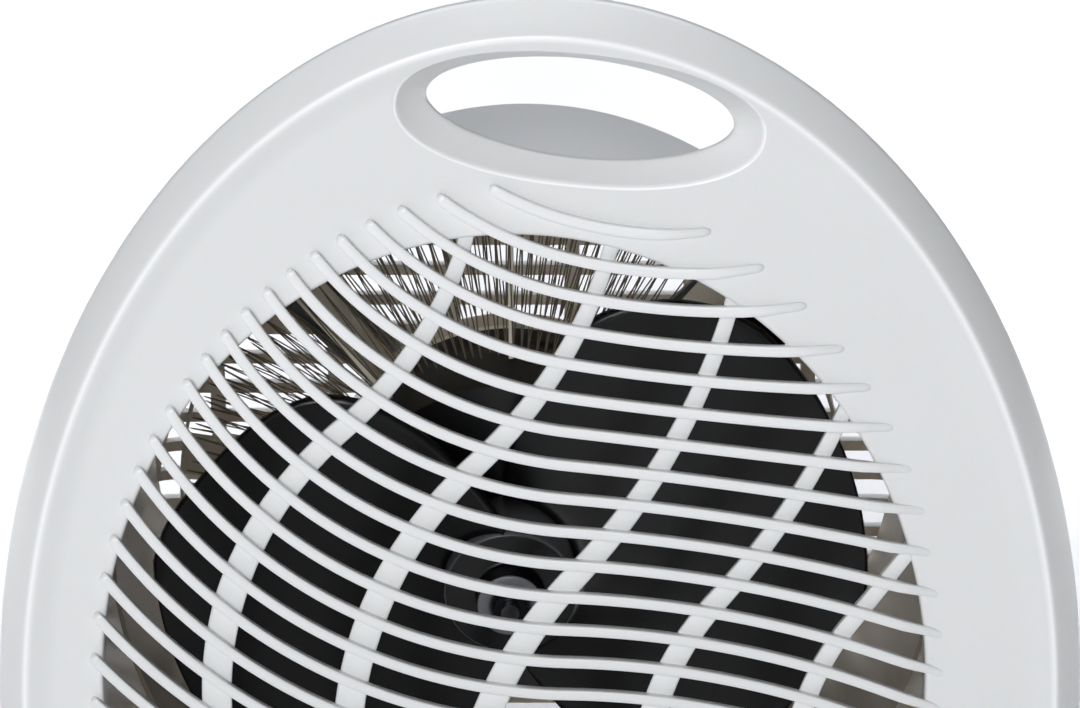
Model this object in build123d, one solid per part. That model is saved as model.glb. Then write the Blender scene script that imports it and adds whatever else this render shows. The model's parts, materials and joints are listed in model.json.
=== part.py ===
from build123d import *
import math
import os

# A free-standing fan heater. While it is modelled, X runs to the right seen from the front,
# Y runs backwards from the crest of the front rim, and Z runs up from the floor, all in
# millimetres. Angles in the front view count from +X towards +Z.

# ---------------------------------------------------------------- casing
height = 290.0                  # floor to the top of the handle
outline_half_width = 118.0      # front view outline, an oval cut off at the foot
outline_half_height = 167.0
wall = 2.4                      # moulded wall of both shells
rim_band = 6.2                  # sloping band between the rim's crest and the side
dish = 1.5                      # how far the face lies behind the rim's crest
lip = 3.0                       # width of the rim's crest on the face side
parting = 26.0                  # the plane where the two shells meet
parting_inset = 7.5             # how far the casing has narrowed there, all round
tray_back = 36.0                # back of the rim and of the handle
back_inset = 14.0               # how far the casing has narrowed there
fit = 0.3                       # working clearance between neighbouring pieces
touch = 0.05                    # clearance of a screw or stud in its own hole
straight_enough = 0.05          # a curve that bulges by less than this is drawn straight

# ---------------------------------------------------------------- air opening and grille
opening_x = -5.6
opening_z = 133.0
opening_half_width = 89.0
opening_up = 107.0              # half-height above opening_z
opening_down = 75.0             # half-height below opening_z
collar_wall = 2.0
collar_back = 8.0
slat_count = 24
slat_width = 2.4
slat_proud = 2.1                # how far a slat's ridge stands out of the face
slat_back = 4.6                 # back of the slats and ribs
slat_round = 0.9
slat_join_x = 6.0               # where a slat's two arcs join
slat_top_z = 243.0              # height of the top slat at that point
slat_pitch = 7.84
slat_top_slope = 16.9           # fall to the right of the top slat there, in degrees
slat_level_row = 18.5           # the row whose slope there is level
slat_bend_left = 0.01437        # a slat's curvature left of that point, at the top row
slat_bend_left_fade = 0.00036   # and how much less each row down
slat_bend_right = -0.0063       # the sharpest curvature right of it, at this row
slat_bend_right_row = 16.9
slat_bend_right_fade = 0.000053
left_end_gap = (2.5, 7.0)       # slat ends beyond the opening: at the side, at the top
right_end_gap = (5.5, 13.0)
rib_joins = ((-42.0, 195.5), (-14.0, 187.0), (7.5, 161.0), (37.5, 154.5), (67.0, 150.0))
rib_leans = (47.5, 44.5, 40.0, 39.0, 36.0)      # lean from upright where a rib's two arcs join
rib_radii_below = (88.0, 99.0, 111.0, 67.0, 65.0)   # the arc that turns upright below the join
rib_radii_above = (90.0, 111.0, 156.0, 170.0, 400.0)
rib_width = 2.4                 # at a rib's top end
rib_widening = 0.03             # and how much wider it grows for each mm down
rib_widest = 5.4
rib_front = 1.9

# ---------------------------------------------------------------- handle
handle_x = 8.2
handle_z = 265.5
handle_tilt = -6.5
handle_mouth = (37.7, 14.3)     # half-sizes at the face
handle_throat = (31.9, 10.8)    # half-sizes at throat_y, where it is narrowest
throat_y = 9.0
handle_rear = (36.0, 17.0)      # half-sizes at the back, where its floor has dropped to the drum
handle_rear_z = 259.3

# ---------------------------------------------------------------- rear drum
drum_x = -3.5
drum_z = 107.0
drum_half_width = 100.0
drum_half_height = 135.4
drum_draft_x = 3.0              # the drum narrows by this much to the back, on each side
drum_draft_z = 13.0
drum_back = 112.0
drum_round = 12.0
slot_width = 24.5
slot_height = 5.0
slot_pitch_x = 28.0
slot_pitch_z = 7.6
slot_inset = 7.0                # slots are cut off this far inside the drum's rear edge
slot_shortest = 6.0             # a slot cut shorter than this is left out
slot_rows_below = 11            # rows below the one level with the fan's axis
inlet_x = 46.0
inlet_z = 30.0
inlet_hole_radius = 7.0

# ---------------------------------------------------------------- foot
foot_top = 12.0
foot_bottom = 3.0
foot_half_width = 92.0
foot_front = -5.0
foot_back = 120.0
foot_corner = 38.0
foot_wall = 2.6
rubber_radius = 8.0
rubber_height = 5.0
rubber_inset = 26.0
lug_x = 20.0
rear_lug_x = 30.0
lug_size = 12.0
lug_height = 16.0

# ---------------------------------------------------------------- screws
screw_radius = 1.5
screw_head_radius = 2.8
screw_head_height = 2.2
screw_bite = 14.0               # length of a case screw inside the front shell's boss
boss_radius = 4.0
boss_rows = (212.0, 140.0)
boss_inset = 11.2               # boss centre inside the outline
screw_seat = 3.6                # parting plane to the seat of a case screw's head
screw_spare = 1.0               # hole past a screw's tip, or thread past its nut

# ---------------------------------------------------------------- fan
axis_x = -6.5
axis_z = 145.0
fan_radius = 79.0
fan_front = 25.0
fan_depth = 20.0
blade_thickness = 1.8
blade_start = 0.0               # clockwise from up, at the rear edge of the blade
blade_sweep = 165.0
hub_radius = 14.7
hub_wall = 2.0
boss_front = 19.0
blade_margin = 8.0              # the helical blank runs past the trimmed outline, in degrees
blade_steps = 8
tip_angles = (46.0, 72.0, 97.0)
blade_corners = ((140.0, 60.0), (163.0, 26.0), (176.0, 12.0), (-8.0, 12.0), (6.0, 40.0), (17.0, 62.0))
blade_corner_round = 7.0
fan_boss_radius = 7.4
shaft_radius = 2.0
shaft_stub = 3.5                # shaft end ahead of the fan's boss
running = 0.1                   # clearance of a shaft in its bearing
clip_radius = 3.4
clip_height = 1.2

# ---------------------------------------------------------------- motor
motor_radius = 39.0
motor_front = 50.0
motor_back = 84.0
motor_sheet = 1.2
stack_front = 58.0
stack_back = 76.0
stator_bore = 19.0
yoke_width = 6.5
pole_width = 9.0
pole_count = 4
shoe_depth = 2.5
shoe_gap = 5.0
air_gap = 0.6
coil_thickness = 4.0
coil_round = 3.6
end_ring_height = 3.0
bearing_radius = 5.0
bearing_height = 7.0
motor_screw_radius = 1.5
motor_screw_ring = 34.3
motor_nut_across = 5.5
motor_nut_height = 2.4
bearing_housing_wall = 2.5
bearing_front = 46.5
bearing_proud = 2.0             # rear bearing behind the spider

# ---------------------------------------------------------------- heating element
spider_thickness = 1.6
spider_arm_width = 12.0
spider_reach = 78.0             # fan axis to the end of an arm
spider_post_ring = 72.0
spider_post_radius = 5.0
arm_count = 4
vane_count = 9
vane_front = 58.0
vane_back = 80.0
vane_thickness = 1.0
vane_inner = 42.0               # fan axis to a vane's inner and outer edges
vane_outer = 76.0
band_sheet = 0.8
band_front = 77.0
wire_size = 0.7
wire_margin = 1.2               # the wire's bends lie this far inside the vanes' ends
wire_legs = 132
wire_from = -175.0              # the element's arc round the fan axis, clockwise from up
wire_to = 33.0
shield_sheet = 1.0
shield_front = 35.0
shield_back = 99.0
shield_floor = 55.0
shield_top = 150.0

# ---------------------------------------------------------------- controls
knob_x = 46.0
knob_z = 33.0
knob_radius = 15.5
knob_depth = 15.0
knob_wall = 2.0
knob_grip_width = 9.0
knob_grip_depth = 6.0
knob_gap = 0.8                  # knob skirt to the face
control_shaft_radius = 3.0
shaft_bite = 4.0                # length of a control's shaft inside its body
knob_grip_inset = 1.0           # ends of the grip inside the knob's edge
neck_radius = 4.8
neck_front = 2.2                # how far the threaded neck stands out of the face
nut_height = 2.0
nut_across = 12.0
thermostat_size = (30.0, 24.0, 30.0)
switch_size = (33.0, 27.0, 33.0)
lens_radius = 5.0
lens_flange = 6.5
lens_proud = 2.5
lamp_radius = 3.2
lamp_length = 14.0
terminal_size = (34.0, 16.0, 15.0)
terminal_x = -22.0
terminal_y = 78.0
cutout_angle = 50.0             # place round the fan axis, clockwise from up
cutout_ring = 66.0
cutout_radius = 7.5
cutout_height = 7.0
cutout_front = 65.0
cutout_tab = 8.0                # length of its two terminals
cutout_window = 5.0             # half-diagonal of the square window in its bracket
cutout_bracket_width = 13.0
cutout_margin = 2.0             # bracket past the cut-out's inner edge
fuse_vane = 80.0                # the fuse lies along the vane at this angle
fuse_radius = 2.0
fuse_ring = (60.0, 72.0)
lead_radius = 1.1
lead_bend = 8.0
lead_hole_y = 80.5
lead_hole_radius = 3.0
lens_rim = 1.2                  # thickness of the lens flange
lens_stem = 5.0                 # lens behind the face
terminal_bore = 2.2
terminal_sunk = 1.5             # terminal screw below the block's top
inlet_bore = 4.2
inlet_flange = 2.5              # the grommet's outer and inner beads past its hole
inlet_bead = 1.5
lead_reach = 20.0               # straight run of a long lead out of its terminal, and of a short one
lead_stub = 12.0
stat_tab_x = 4.0                # lead's place on the thermostat, outwards from its shaft
switch_tabs = ((5.0, -6.0), (-6.0, 4.0), (7.0, 7.0))    # and on the switch, across and up
lamp_lead_x = 1.0
lamp_lead_turn = (8.0, 6.0)     # where the lamp's lead turns, across and up from the lamp

face_back = dish + wall
drum_front = tray_back - wall
outline_z = height - outline_half_height
stator_radius = motor_radius - motor_sheet - touch
spider_back = motor_back + spider_thickness
bearing_back = spider_back + bearing_proud
foot_seat = foot_bottom + screw_head_height + screw_spare
motor_split = (stack_front + stack_back) / 2
cutout_back = cutout_front + cutout_height
knob_back = dish - knob_gap
knob_front = knob_back - knob_depth
shaft_end = face_back + shaft_bite
lens_back = face_back + lens_stem


class Oval:
    """An upright oval: one half-width, its own half-heights up and down, and a tilt in degrees."""

    def __init__(self, x, z, half_width, up, down=None, tilt=0.0):
        self.x, self.z, self.half_width, self.up, self.tilt = x, z, half_width, up, tilt
        self.down = up if down is None else down

    def grown(self, by, by_up=None):
        """The same oval, larger by `by` all round, or by `by_up` in height."""
        rise = by if by_up is None else by_up
        return Oval(self.x, self.z, self.half_width + by, self.up + rise, self.down + rise, self.tilt)

    def half_width_at(self, z):
        rise = (z - self.z) / (self.up if z > self.z else self.down)
        return self.half_width * math.sqrt(max(0.0, 1 - rise * rise))

    def holds(self, x, z):
        return abs(x - self.x) < self.half_width_at(z)

    def sketch(self):
        if self.up == self.down:
            return Pos(self.x, self.z) * Rot(0, 0, self.tilt) * Ellipse(self.half_width, self.up)
        size = 4 * (self.half_width + self.up + self.down)
        upper = Ellipse(self.half_width, self.up) & Pos(0, size / 2) * Rectangle(size, size)
        lower = Ellipse(self.half_width, self.down) & Pos(0, -size / 2) * Rectangle(size, size)
        return Pos(self.x, self.z) * (upper + lower)


outline = Oval(0, outline_z, outline_half_width, outline_half_height)
narrowed = outline.grown(-parting_inset)
opening = Oval(opening_x, opening_z, opening_half_width, opening_up, opening_down)
mouth = Oval(handle_x, handle_z, *handle_mouth, tilt=handle_tilt)
throat = Oval(handle_x, handle_z, *handle_throat, tilt=handle_tilt)
grip_back = Oval(handle_x, handle_rear_z, *handle_rear, tilt=handle_tilt)
drum_mouth = Oval(drum_x, drum_z, drum_half_width, drum_half_height)
drum_rear = drum_mouth.grown(-drum_draft_x, -drum_draft_z)


# ---------------------------------------------------------------- plain shapes
def front_plane(y):
    """The upright plane at depth y, seen from the front."""
    return Plane(origin=(0, y, 0), x_dir=(1, 0, 0), z_dir=(0, -1, 0))


def slab(sketch, y0, y1):
    """A front-view sketch made solid between two depths."""
    return extrude(front_plane(y1) * sketch, amount=y1 - y0, dir=(0, -1, 0))


def frustum(front_oval, y0, rear_oval, y1):
    """A solid that changes from one oval to another between two depths."""
    return loft([front_plane(y0) * front_oval.sketch(), front_plane(y1) * rear_oval.sketch()])


def rod(x, z, radius, y0, y1):
    return slab(Pos(x, z) * Circle(radius), y0, y1)


def tube(x, z, outer, inner, y0, y1):
    return slab(Pos(x, z) * (Circle(outer) - Circle(inner)), y0, y1)


def post(x, y, radius, z0, z1):
    return Pos(x, y, (z0 + z1) / 2) * Cylinder(radius, z1 - z0)


def block(x0, x1, y0, y1, z0, z1):
    return Pos((x0 + x1) / 2, (y0 + y1) / 2, (z0 + z1) / 2) * Box(x1 - x0, y1 - y0, z1 - z0)


def above(z):
    """All the space above a height, over the whole heater."""
    return block(-2 * height, 2 * height, -2 * height, 2 * height, z, 3 * height)


def round_axis(angle, radius):
    """A front-view point at a clockwise angle from up and a radius from the fan's axis."""
    turn = math.radians(angle)
    return axis_x + radius * math.sin(turn), axis_z + radius * math.cos(turn)


def boss_places():
    """The case screws: one each side at every row, just inside the outline."""
    for z in boss_rows:
        for side in (-1, 1):
            yield side * (outline.half_width_at(z) - boss_inset), z


# ---------------------------------------------------------------- grille ribbons
class Track:
    """Two arcs joined smoothly at a point: one runs back from it and one runs on."""

    def __init__(self, x, z, heading, bend_back, bend_on, back_arc=math.inf):
        """The arc back is back_arc long, and the track runs on straight past its end."""
        self.x, self.z, self.heading = x, z, math.radians(heading)
        self.bend_back, self.bend_on, self.back_arc = bend_back, bend_on, back_arc

    def point(self, s, side=0.0):
        """The point a length s along the track, moved sideways to its left."""
        bent = max(s, -self.back_arc)
        turn = (self.bend_on if s > 0 else self.bend_back) * bent
        chord = bent * (math.sin(turn / 2) / (turn / 2) if abs(turn) > 1e-9 else 1.0)
        heading = self.heading + turn
        along, across = (math.cos(heading), math.sin(heading)), (-math.sin(heading), math.cos(heading))
        x = self.x + chord * math.cos(self.heading + turn / 2) + (s - bent) * along[0]
        z = self.z + chord * math.sin(self.heading + turn / 2) + (s - bent) * along[1]
        return x + side * across[0], z + side * across[1]

    def reach(self, oval, way):
        """The signed length at which the track leaves an oval, going on (1) or back (-1)."""
        near, far = 0.0, 2.5 * (oval.half_width + oval.up)
        for _ in range(50):
            middle = (near + far) / 2
            if all(oval.holds(*self.point(way * middle * share)) for share in (0.5, 0.75, 1.0)):
                near = middle
            else:
                far = middle
        return way * near

    def edge(self, s0, s1, offset):
        """An edge of a band between two lengths, drawn straight where it bends by less than a hair."""
        start, middle, end = (self.point(s, offset(s)) for s in (s0, (s0 + s1) / 2, s1))
        bend = self.bend_on if s0 + s1 > 0 else self.bend_back
        if s1 <= -self.back_arc or abs(bend) * (s1 - s0) ** 2 / 8 < straight_enough:
            return Line(start, end)
        return ThreePointArc(start, middle, end)

    def ribbon(self, s0, s1, half):
        """A flat band along the track with round ends, `half(s)` wide each side at a length s."""
        ends = []
        for s, way in ((s0, -1), (s1, 1)):
            x, z = self.point(s)
            ahead = self.point(s + way)
            step = half(s) / math.dist(ahead, (x, z))
            tip = (x + (ahead[0] - x) * step, z + (ahead[1] - z) * step)
            ends.append(ThreePointArc(self.point(s, half(s)), tip, self.point(s, -half(s))))
        stops = [s0, 0, s1] if s0 > -self.back_arc else [s0, -self.back_arc, 0, s1]
        left = [self.edge(a, b, half) for a, b in zip(stops, stops[1:])]
        right = [self.edge(a, b, lambda s: -half(s)) for a, b in zip(stops, stops[1:])]
        return make_face(left + right + ends)


def slat_track(row):
    """Slats fall steeply from the left, level out, and bend down again on the right lower down."""
    heading = -slat_top_slope * (1 - row / slat_level_row) ** 2
    left = slat_bend_left - slat_bend_left_fade * row
    right = slat_bend_right + slat_bend_right_fade * (row - slat_bend_right_row) ** 2
    return Track(slat_join_x, slat_top_z - slat_pitch * row, heading, left, right)


def slats():
    left_oval = Oval(opening_x, opening_z, opening_half_width + left_end_gap[0],
                     opening_up + left_end_gap[1], opening_down + left_end_gap[1])
    right_oval = Oval(opening_x, opening_z, opening_half_width + right_end_gap[0],
                      opening_up + right_end_gap[1], opening_down + left_end_gap[1])
    for row in range(slat_count):
        track = slat_track(row)
        if not (left_oval.holds(track.x, track.z) and right_oval.holds(track.x, track.z)):
            continue
        start, end = track.reach(left_oval, -1), track.reach(right_oval, 1)
        slat = slab(track.ribbon(start, end, lambda s: slat_width / 2), dish - slat_proud, slat_back)
        yield fillet(slat.edges().group_by(Axis.Y)[0], slat_round)


def ribs():
    """Bands behind the slats that lean to the right, turn upright lower down, and widen on the way."""
    hold = opening.grown(collar_wall / 2)
    for (x, z), lean, below, above_join in zip(rib_joins, rib_leans, rib_radii_below, rib_radii_above):
        track = Track(x, z, 90 - lean, -1 / below, 1 / above_join, math.radians(lean) * below)
        top = track.reach(hold, 1)

        def half(s):
            return min(rib_widest, rib_width + rib_widening * (top - s)) / 2

        yield slab(track.ribbon(track.reach(hold, -1), top, half), rib_front, slat_back)


# ---------------------------------------------------------------- casing pieces
def make_front_shell():
    crest = outline.grown(-rim_band)
    full = frustum(crest, 0, outline, rim_band) + frustum(outline, rim_band, narrowed, parting)
    body = full - frustum(crest.grown(-wall / 2), face_back, outline.grown(-wall), rim_band + wall)
    body -= frustum(outline.grown(-wall), rim_band + wall, narrowed.grown(-wall), parting)
    dished = crest.grown(-lip)
    body -= frustum(dished, 0, dished.grown(-dish), dish)
    for x, z in boss_places():
        body += rod(x, z, boss_radius, face_back - wall / 2, parting)
    body += slab(opening.grown(collar_wall).sketch(), dish, collar_back)
    body -= slab(opening.sketch(), -rim_band, collar_back)
    body += frustum(mouth.grown(wall), dish, throat.grown(wall), throat_y)
    body += frustum(throat.grown(wall), throat_y, grip_back.grown(wall), tray_back) & \
        block(-height, height, throat_y, parting, 0, height)
    body -= frustum(mouth, 0, throat, throat_y)
    body -= frustum(throat, throat_y, grip_back, tray_back)
    for x, z in boss_places():
        body -= rod(x, z, screw_radius + touch, parting - screw_bite - screw_spare, parting)
    for side in (-1, 1):
        x = side * lug_x
        body += block(x - lug_size / 2, x + lug_size / 2, face_back - wall / 2,
                      face_back + lug_size, foot_top, foot_top + lug_height)
        body -= post(x, face_back + lug_size / 2, screw_radius + touch,
                     foot_top, foot_top + lug_height - wall)
        body -= rod(side * knob_x, knob_z, neck_radius + touch, -rim_band, face_back + wall)
    body -= rod(0, knob_z, lens_radius + touch, -rim_band, face_back + wall)
    body = body.fuse(*slats(), *ribs())
    return body & above(foot_top)


def rear_slots():
    """Level slots in rows and columns, cut off along the drum's rear edge."""
    field = drum_rear.grown(-slot_inset).sketch()
    columns = int(drum_half_width / slot_pitch_x)
    for column in range(-columns, columns + 1):
        for row in range(-slot_rows_below, int(drum_half_height / slot_pitch_z)):
            place = Pos(axis_x + column * slot_pitch_x, axis_z + row * slot_pitch_z)
            cut = place * Rectangle(slot_width, slot_height) & field
            if cut and cut.area > slot_shortest * slot_height:
                yield cut


def arm_angles():
    """The spider's arms, clockwise from up."""
    return [360 * (place + 0.5) / arm_count for place in range(arm_count)]


def make_rear_shell():
    full = frustum(narrowed, parting, outline.grown(-back_inset), tray_back)
    sleeves = [rod(x, z, boss_radius, parting, tray_back) & full for x, z in boss_places()]
    tray = full - frustum(narrowed.grown(-wall), parting,
                          outline.grown(-back_inset - wall / 2), tray_back - wall)
    drum = frustum(drum_mouth, drum_front, drum_rear, drum_back)
    drum = fillet(drum.edges().group_by(Axis.Y)[-1], drum_round)
    hollow = frustum(drum_mouth.grown(-wall), drum_front, drum_rear.grown(-wall), drum_back - wall)
    hollow = fillet(hollow.edges().group_by(Axis.Y)[-1], drum_round - wall)
    handle = frustum(throat.grown(wall), throat_y, grip_back.grown(wall), tray_back) & full
    body = tray.fuse(drum, handle, *sleeves) - hollow
    body -= frustum(throat, throat_y, grip_back, tray_back)
    body -= slab(Sketch() + list(rear_slots()), drum_back - drum_round, drum_back)
    body -= rod(inlet_x, inlet_z, inlet_hole_radius, drum_back - wall, drum_back)
    for x, z in boss_places():
        body -= rod(x, z, screw_radius + fit, parting, parting + screw_seat)
        body -= rod(x, z, screw_head_radius + fit, parting + screw_seat, tray_back)
    inner_back = drum_back - wall
    for angle in arm_angles():
        x, z = round_axis(angle, spider_post_ring)
        body += rod(x, z, spider_post_radius, spider_back, drum_back) & drum
        body -= rod(x, z, screw_radius + touch, spider_back, inner_back)
    for side in (-1, 1):
        x = drum_x + side * rear_lug_x
        body += block(x - lug_size / 2, x + lug_size / 2, inner_back - lug_size, inner_back,
                      foot_top, foot_top + lug_height)
        body -= post(x, inner_back - lug_size / 2, screw_radius + touch,
                     foot_top, foot_top + lug_height - wall)
    return body & above(foot_top)


def foot_sketch(grow):
    width = 2 * (foot_half_width + grow)
    depth = foot_back - foot_front + 2 * grow
    centre = (foot_front + foot_back) / 2
    return Pos(0, centre) * RectangleRounded(width, depth, foot_corner + grow)


def rubber_places():
    for x in (-1, 1):
        for y in (foot_front + rubber_inset, foot_back - rubber_inset):
            yield x * (foot_half_width - rubber_inset), y


def lug_places():
    """Where the foot's screws go up into the lugs of the two shells."""
    for side in (-1, 1):
        yield side * lug_x, face_back + lug_size / 2
        yield drum_x + side * rear_lug_x, drum_back - wall - lug_size / 2


def make_base_foot():
    body = Pos(0, 0, foot_bottom) * extrude(foot_sketch(0), foot_top - foot_bottom)
    body = fillet(body.edges().group_by(Axis.Z)[-1], foot_wall)
    hollow = foot_top - foot_bottom - foot_wall
    body -= Pos(0, 0, foot_bottom) * extrude(foot_sketch(-foot_wall), hollow)
    plate = foot_top - foot_wall
    for x, y in rubber_places():
        body += post(x, y, rubber_radius + foot_wall, foot_bottom, plate)
        body -= post(x, y, rubber_radius + touch, foot_bottom, rubber_height)
    for x, y in lug_places():
        body += post(x, y, boss_radius + foot_wall / 2, foot_bottom + screw_head_height, plate)
        body -= post(x, y, screw_radius + fit, foot_bottom, foot_top)
        body -= post(x, y, screw_head_radius + fit, foot_bottom, foot_seat)
    return body


def make_rubber_feet():
    return [post(x, y, rubber_radius, 0, rubber_height) for x, y in rubber_places()]


def make_case_screws():
    seat = parting + screw_seat
    for x, z in boss_places():
        yield rod(x, z, screw_head_radius, seat, seat + screw_head_height) + \
            rod(x, z, screw_radius, parting - screw_bite, seat)


def make_foot_screws():
    for x, y in lug_places():
        head = post(x, y, screw_head_radius, foot_seat - screw_head_height, foot_seat)
        yield head + post(x, y, screw_radius, foot_seat, foot_top + lug_height - wall - screw_spare)


def make_heat_shield():
    """A sheet trough below the fan that keeps the hot air off the controls."""
    outer = []
    for y in (shield_front, shield_back):
        share = (y - drum_front) / (drum_back - drum_front)
        inside = drum_mouth.grown(-wall - share * drum_draft_x, -wall - share * drum_draft_z)
        half_width = inside.half_width_at(shield_top) - fit
        outer.append(Oval(drum_x, shield_top, half_width, shield_top - shield_floor))
    inner = [oval.grown(-shield_sheet) for oval in outer]
    body = frustum(outer[0], shield_front, outer[1], shield_back)
    body -= frustum(inner[0], shield_front, inner[1], shield_back)
    hole = post(drum_x, lead_hole_y, lead_hole_radius, 0, shield_top)
    return body - above(shield_top) - hole


# ---------------------------------------------------------------- fan and motor
def turned(shape, angle):
    """A shape turned about the fan's axis, clockwise seen from the front."""
    return Pos(axis_x, 0, axis_z) * Rot(0, angle, 0) * Pos(-axis_x, 0, -axis_z) * shape


def blade():
    """A helical plate trimmed to the blade's front-view outline."""
    strips = []
    for step in range(blade_steps + 1):
        share = step / blade_steps
        y = fan_front + fan_depth - blade_thickness / 2 - share * (fan_depth - blade_thickness)
        turn = math.radians(blade_start - blade_margin + share * (blade_sweep + 2 * blade_margin))
        outward = (math.sin(turn), 0, math.cos(turn))
        along = (math.cos(turn), 0, -math.sin(turn))
        strip = Pos(fan_radius / 2 + hub_radius / 2, 0) * Rectangle(fan_radius, blade_thickness)
        strips.append(Plane(origin=(axis_x, y, axis_z), x_dir=outward, z_dir=along) * strip)
    blank = loft(strips)
    tip = ThreePointArc(*[round_axis(angle, fan_radius) for angle in tip_angles])
    root = [round_axis(angle, radius) for angle, radius in blade_corners]
    edge = make_face([tip, Polyline(tip @ 1, *root, tip @ 0)])
    corners = [v for v in edge.vertices() if math.hypot(v.X - axis_x, v.Y - axis_z) > fan_radius / 2]
    edge = fillet(corners, blade_corner_round)
    return blank & slab(edge, fan_front - wall, fan_front + fan_depth + wall)


def make_fan_rotor():
    back = fan_front + fan_depth
    hub = rod(axis_x, axis_z, hub_radius, fan_front, back)
    hub -= tube(axis_x, axis_z, hub_radius - hub_wall, fan_boss_radius, fan_front + hub_wall, back)
    first = blade()
    body = hub.fuse(first, turned(first, 180), rod(axis_x, axis_z, fan_boss_radius, boss_front, back))
    body -= tube(axis_x, axis_z, hub_radius - hub_wall, fan_boss_radius, fan_front + hub_wall, back)
    return body - rod(axis_x, axis_z, shaft_radius + touch, boss_front, back)


def make_fan_clip():
    return tube(axis_x, axis_z, clip_radius, shaft_radius + touch, boss_front - clip_height, boss_front)


def make_motor_shaft():
    return rod(axis_x, axis_z, shaft_radius, boss_front - shaft_stub, bearing_back + fit)


def make_rotor_core():
    return tube(axis_x, axis_z, stator_bore - air_gap, shaft_radius + touch, stack_front, stack_back)


def make_rotor_end_rings():
    outer = stator_bore - air_gap
    for y0 in (stack_front - end_ring_height, stack_back):
        yield tube(axis_x, axis_z, outer, outer - 2 * end_ring_height, y0, y0 + end_ring_height)


def make_stator():
    centre = Pos(axis_x, axis_z)
    stack = Circle(stator_radius) - Circle(stator_radius - yoke_width)
    shoes = Circle(stator_bore + shoe_depth) - Circle(stator_bore)
    for place in range(pole_count):
        turn = 360 * place / pole_count
        middle = (stator_radius - yoke_width + stator_bore + shoe_depth) / 2
        length = stator_radius - stator_bore - yoke_width
        stack += Rot(0, 0, turn) * Pos(0, middle) * Rectangle(pole_width, length)
        gap = Rot(0, 0, turn + 180 / pole_count) * Pos(0, stator_bore)
        shoes -= gap * Rectangle(shoe_gap, 4 * shoe_depth)
    body = slab(centre * (stack + shoes), stack_front, stack_back)
    for angle in arm_angles():
        x, z = round_axis(angle, motor_screw_ring)
        body -= rod(x, z, motor_screw_radius + touch, stack_front, stack_back)
    return body


def make_motor_coils():
    """One winding round each pole, between its shoe and the yoke."""
    inner_ring = stator_bore + shoe_depth + fit
    half = pole_width / 2 + fit
    outer_ring = math.sqrt((stator_radius - yoke_width) ** 2 - (half + coil_thickness) ** 2) - fit
    for place in range(pole_count):
        z0, z1 = axis_z + inner_ring, axis_z + outer_ring
        y0, y1 = stack_front - fit, stack_back + fit
        turns = block(axis_x - half - coil_thickness, axis_x + half + coil_thickness,
                      y0 - coil_thickness, y1 + coil_thickness, z0, z1)
        turns = fillet(turns.edges().filter_by(Axis.Z), coil_round)
        yield turned(turns - block(axis_x - half, axis_x + half, y0, y1, z0, z1), 360 * place / pole_count)


def motor_cup(y_end, y_split, bearing_y0, bearing_y1):
    """Half of the motor's can: an end wall with a bearing housing and screw holes, and its side."""
    inward = motor_sheet if y_split > y_end else -motor_sheet
    wall_span = sorted((y_end, y_end + inward))
    side_span = sorted((y_end, y_split))
    housing = bearing_radius + bearing_housing_wall
    body = rod(axis_x, axis_z, motor_radius, *wall_span)
    body += tube(axis_x, axis_z, motor_radius, motor_radius - motor_sheet, *side_span)
    body += rod(axis_x, axis_z, housing, bearing_y0, bearing_y1)
    body -= rod(axis_x, axis_z, bearing_radius + touch, bearing_y0, bearing_y1)
    for angle in arm_angles():
        body -= rod(*round_axis(angle, motor_screw_ring), motor_screw_radius + touch, *wall_span)
    return body


def make_motor_bearings():
    for y0 in (bearing_front, bearing_back - bearing_height):
        yield tube(axis_x, axis_z, bearing_radius, shaft_radius + running, y0, y0 + bearing_height)


def make_motor_screws():
    for angle in arm_angles():
        x, z = round_axis(angle, motor_screw_ring)
        tip = motor_front - motor_nut_height - screw_spare
        head = rod(x, z, screw_head_radius, spider_back, spider_back + screw_head_height)
        yield head + rod(x, z, motor_screw_radius, tip, spider_back)


def make_motor_nuts():
    for angle in arm_angles():
        x, z = round_axis(angle, motor_screw_ring)
        nut = Pos(x, z) * RegularPolygon(motor_nut_across / 2, 6, major_radius=False)
        nut = slab(nut, motor_front - motor_nut_height, motor_front)
        yield nut - rod(x, z, motor_screw_radius + touch, 0, motor_front)


def make_spider():
    """The sheet carrier: the motor and the element sit on it, and its arms reach the case posts."""
    plate = Circle(motor_radius)
    for angle in arm_angles():
        plate += Rot(0, 0, angle) * Pos(0, spider_reach / 2) * Rectangle(spider_arm_width, spider_reach)
    plate -= Circle(bearing_radius + bearing_housing_wall + fit)
    body = slab(Pos(axis_x, axis_z) * plate, motor_back, spider_back)
    for angle in arm_angles():
        for ring, radius in ((motor_screw_ring, motor_screw_radius + touch),
                             (spider_post_ring, screw_radius + fit)):
            body -= rod(*round_axis(angle, ring), radius, motor_back, spider_back)
    return body


def make_spider_screws():
    for angle in arm_angles():
        x, z = round_axis(angle, spider_post_ring)
        head = rod(x, z, screw_head_radius, motor_back - screw_head_height, motor_back)
        yield head + rod(x, z, screw_radius, motor_back, spider_back + screw_bite)


# ---------------------------------------------------------------- heating element
def make_mica_vanes():
    """Upright cards that stand round the motor; the wire crosses their front and back edges."""
    for place in range(vane_count):
        card = block(axis_x - vane_thickness / 2, axis_x + vane_thickness / 2, vane_front, vane_back,
                     axis_z + vane_inner, axis_z + vane_outer)
        yield turned(card, 360 * place / vane_count)


def make_band(radius):
    return tube(axis_x, axis_z, radius + band_sheet, radius, band_front, motor_back)


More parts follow.
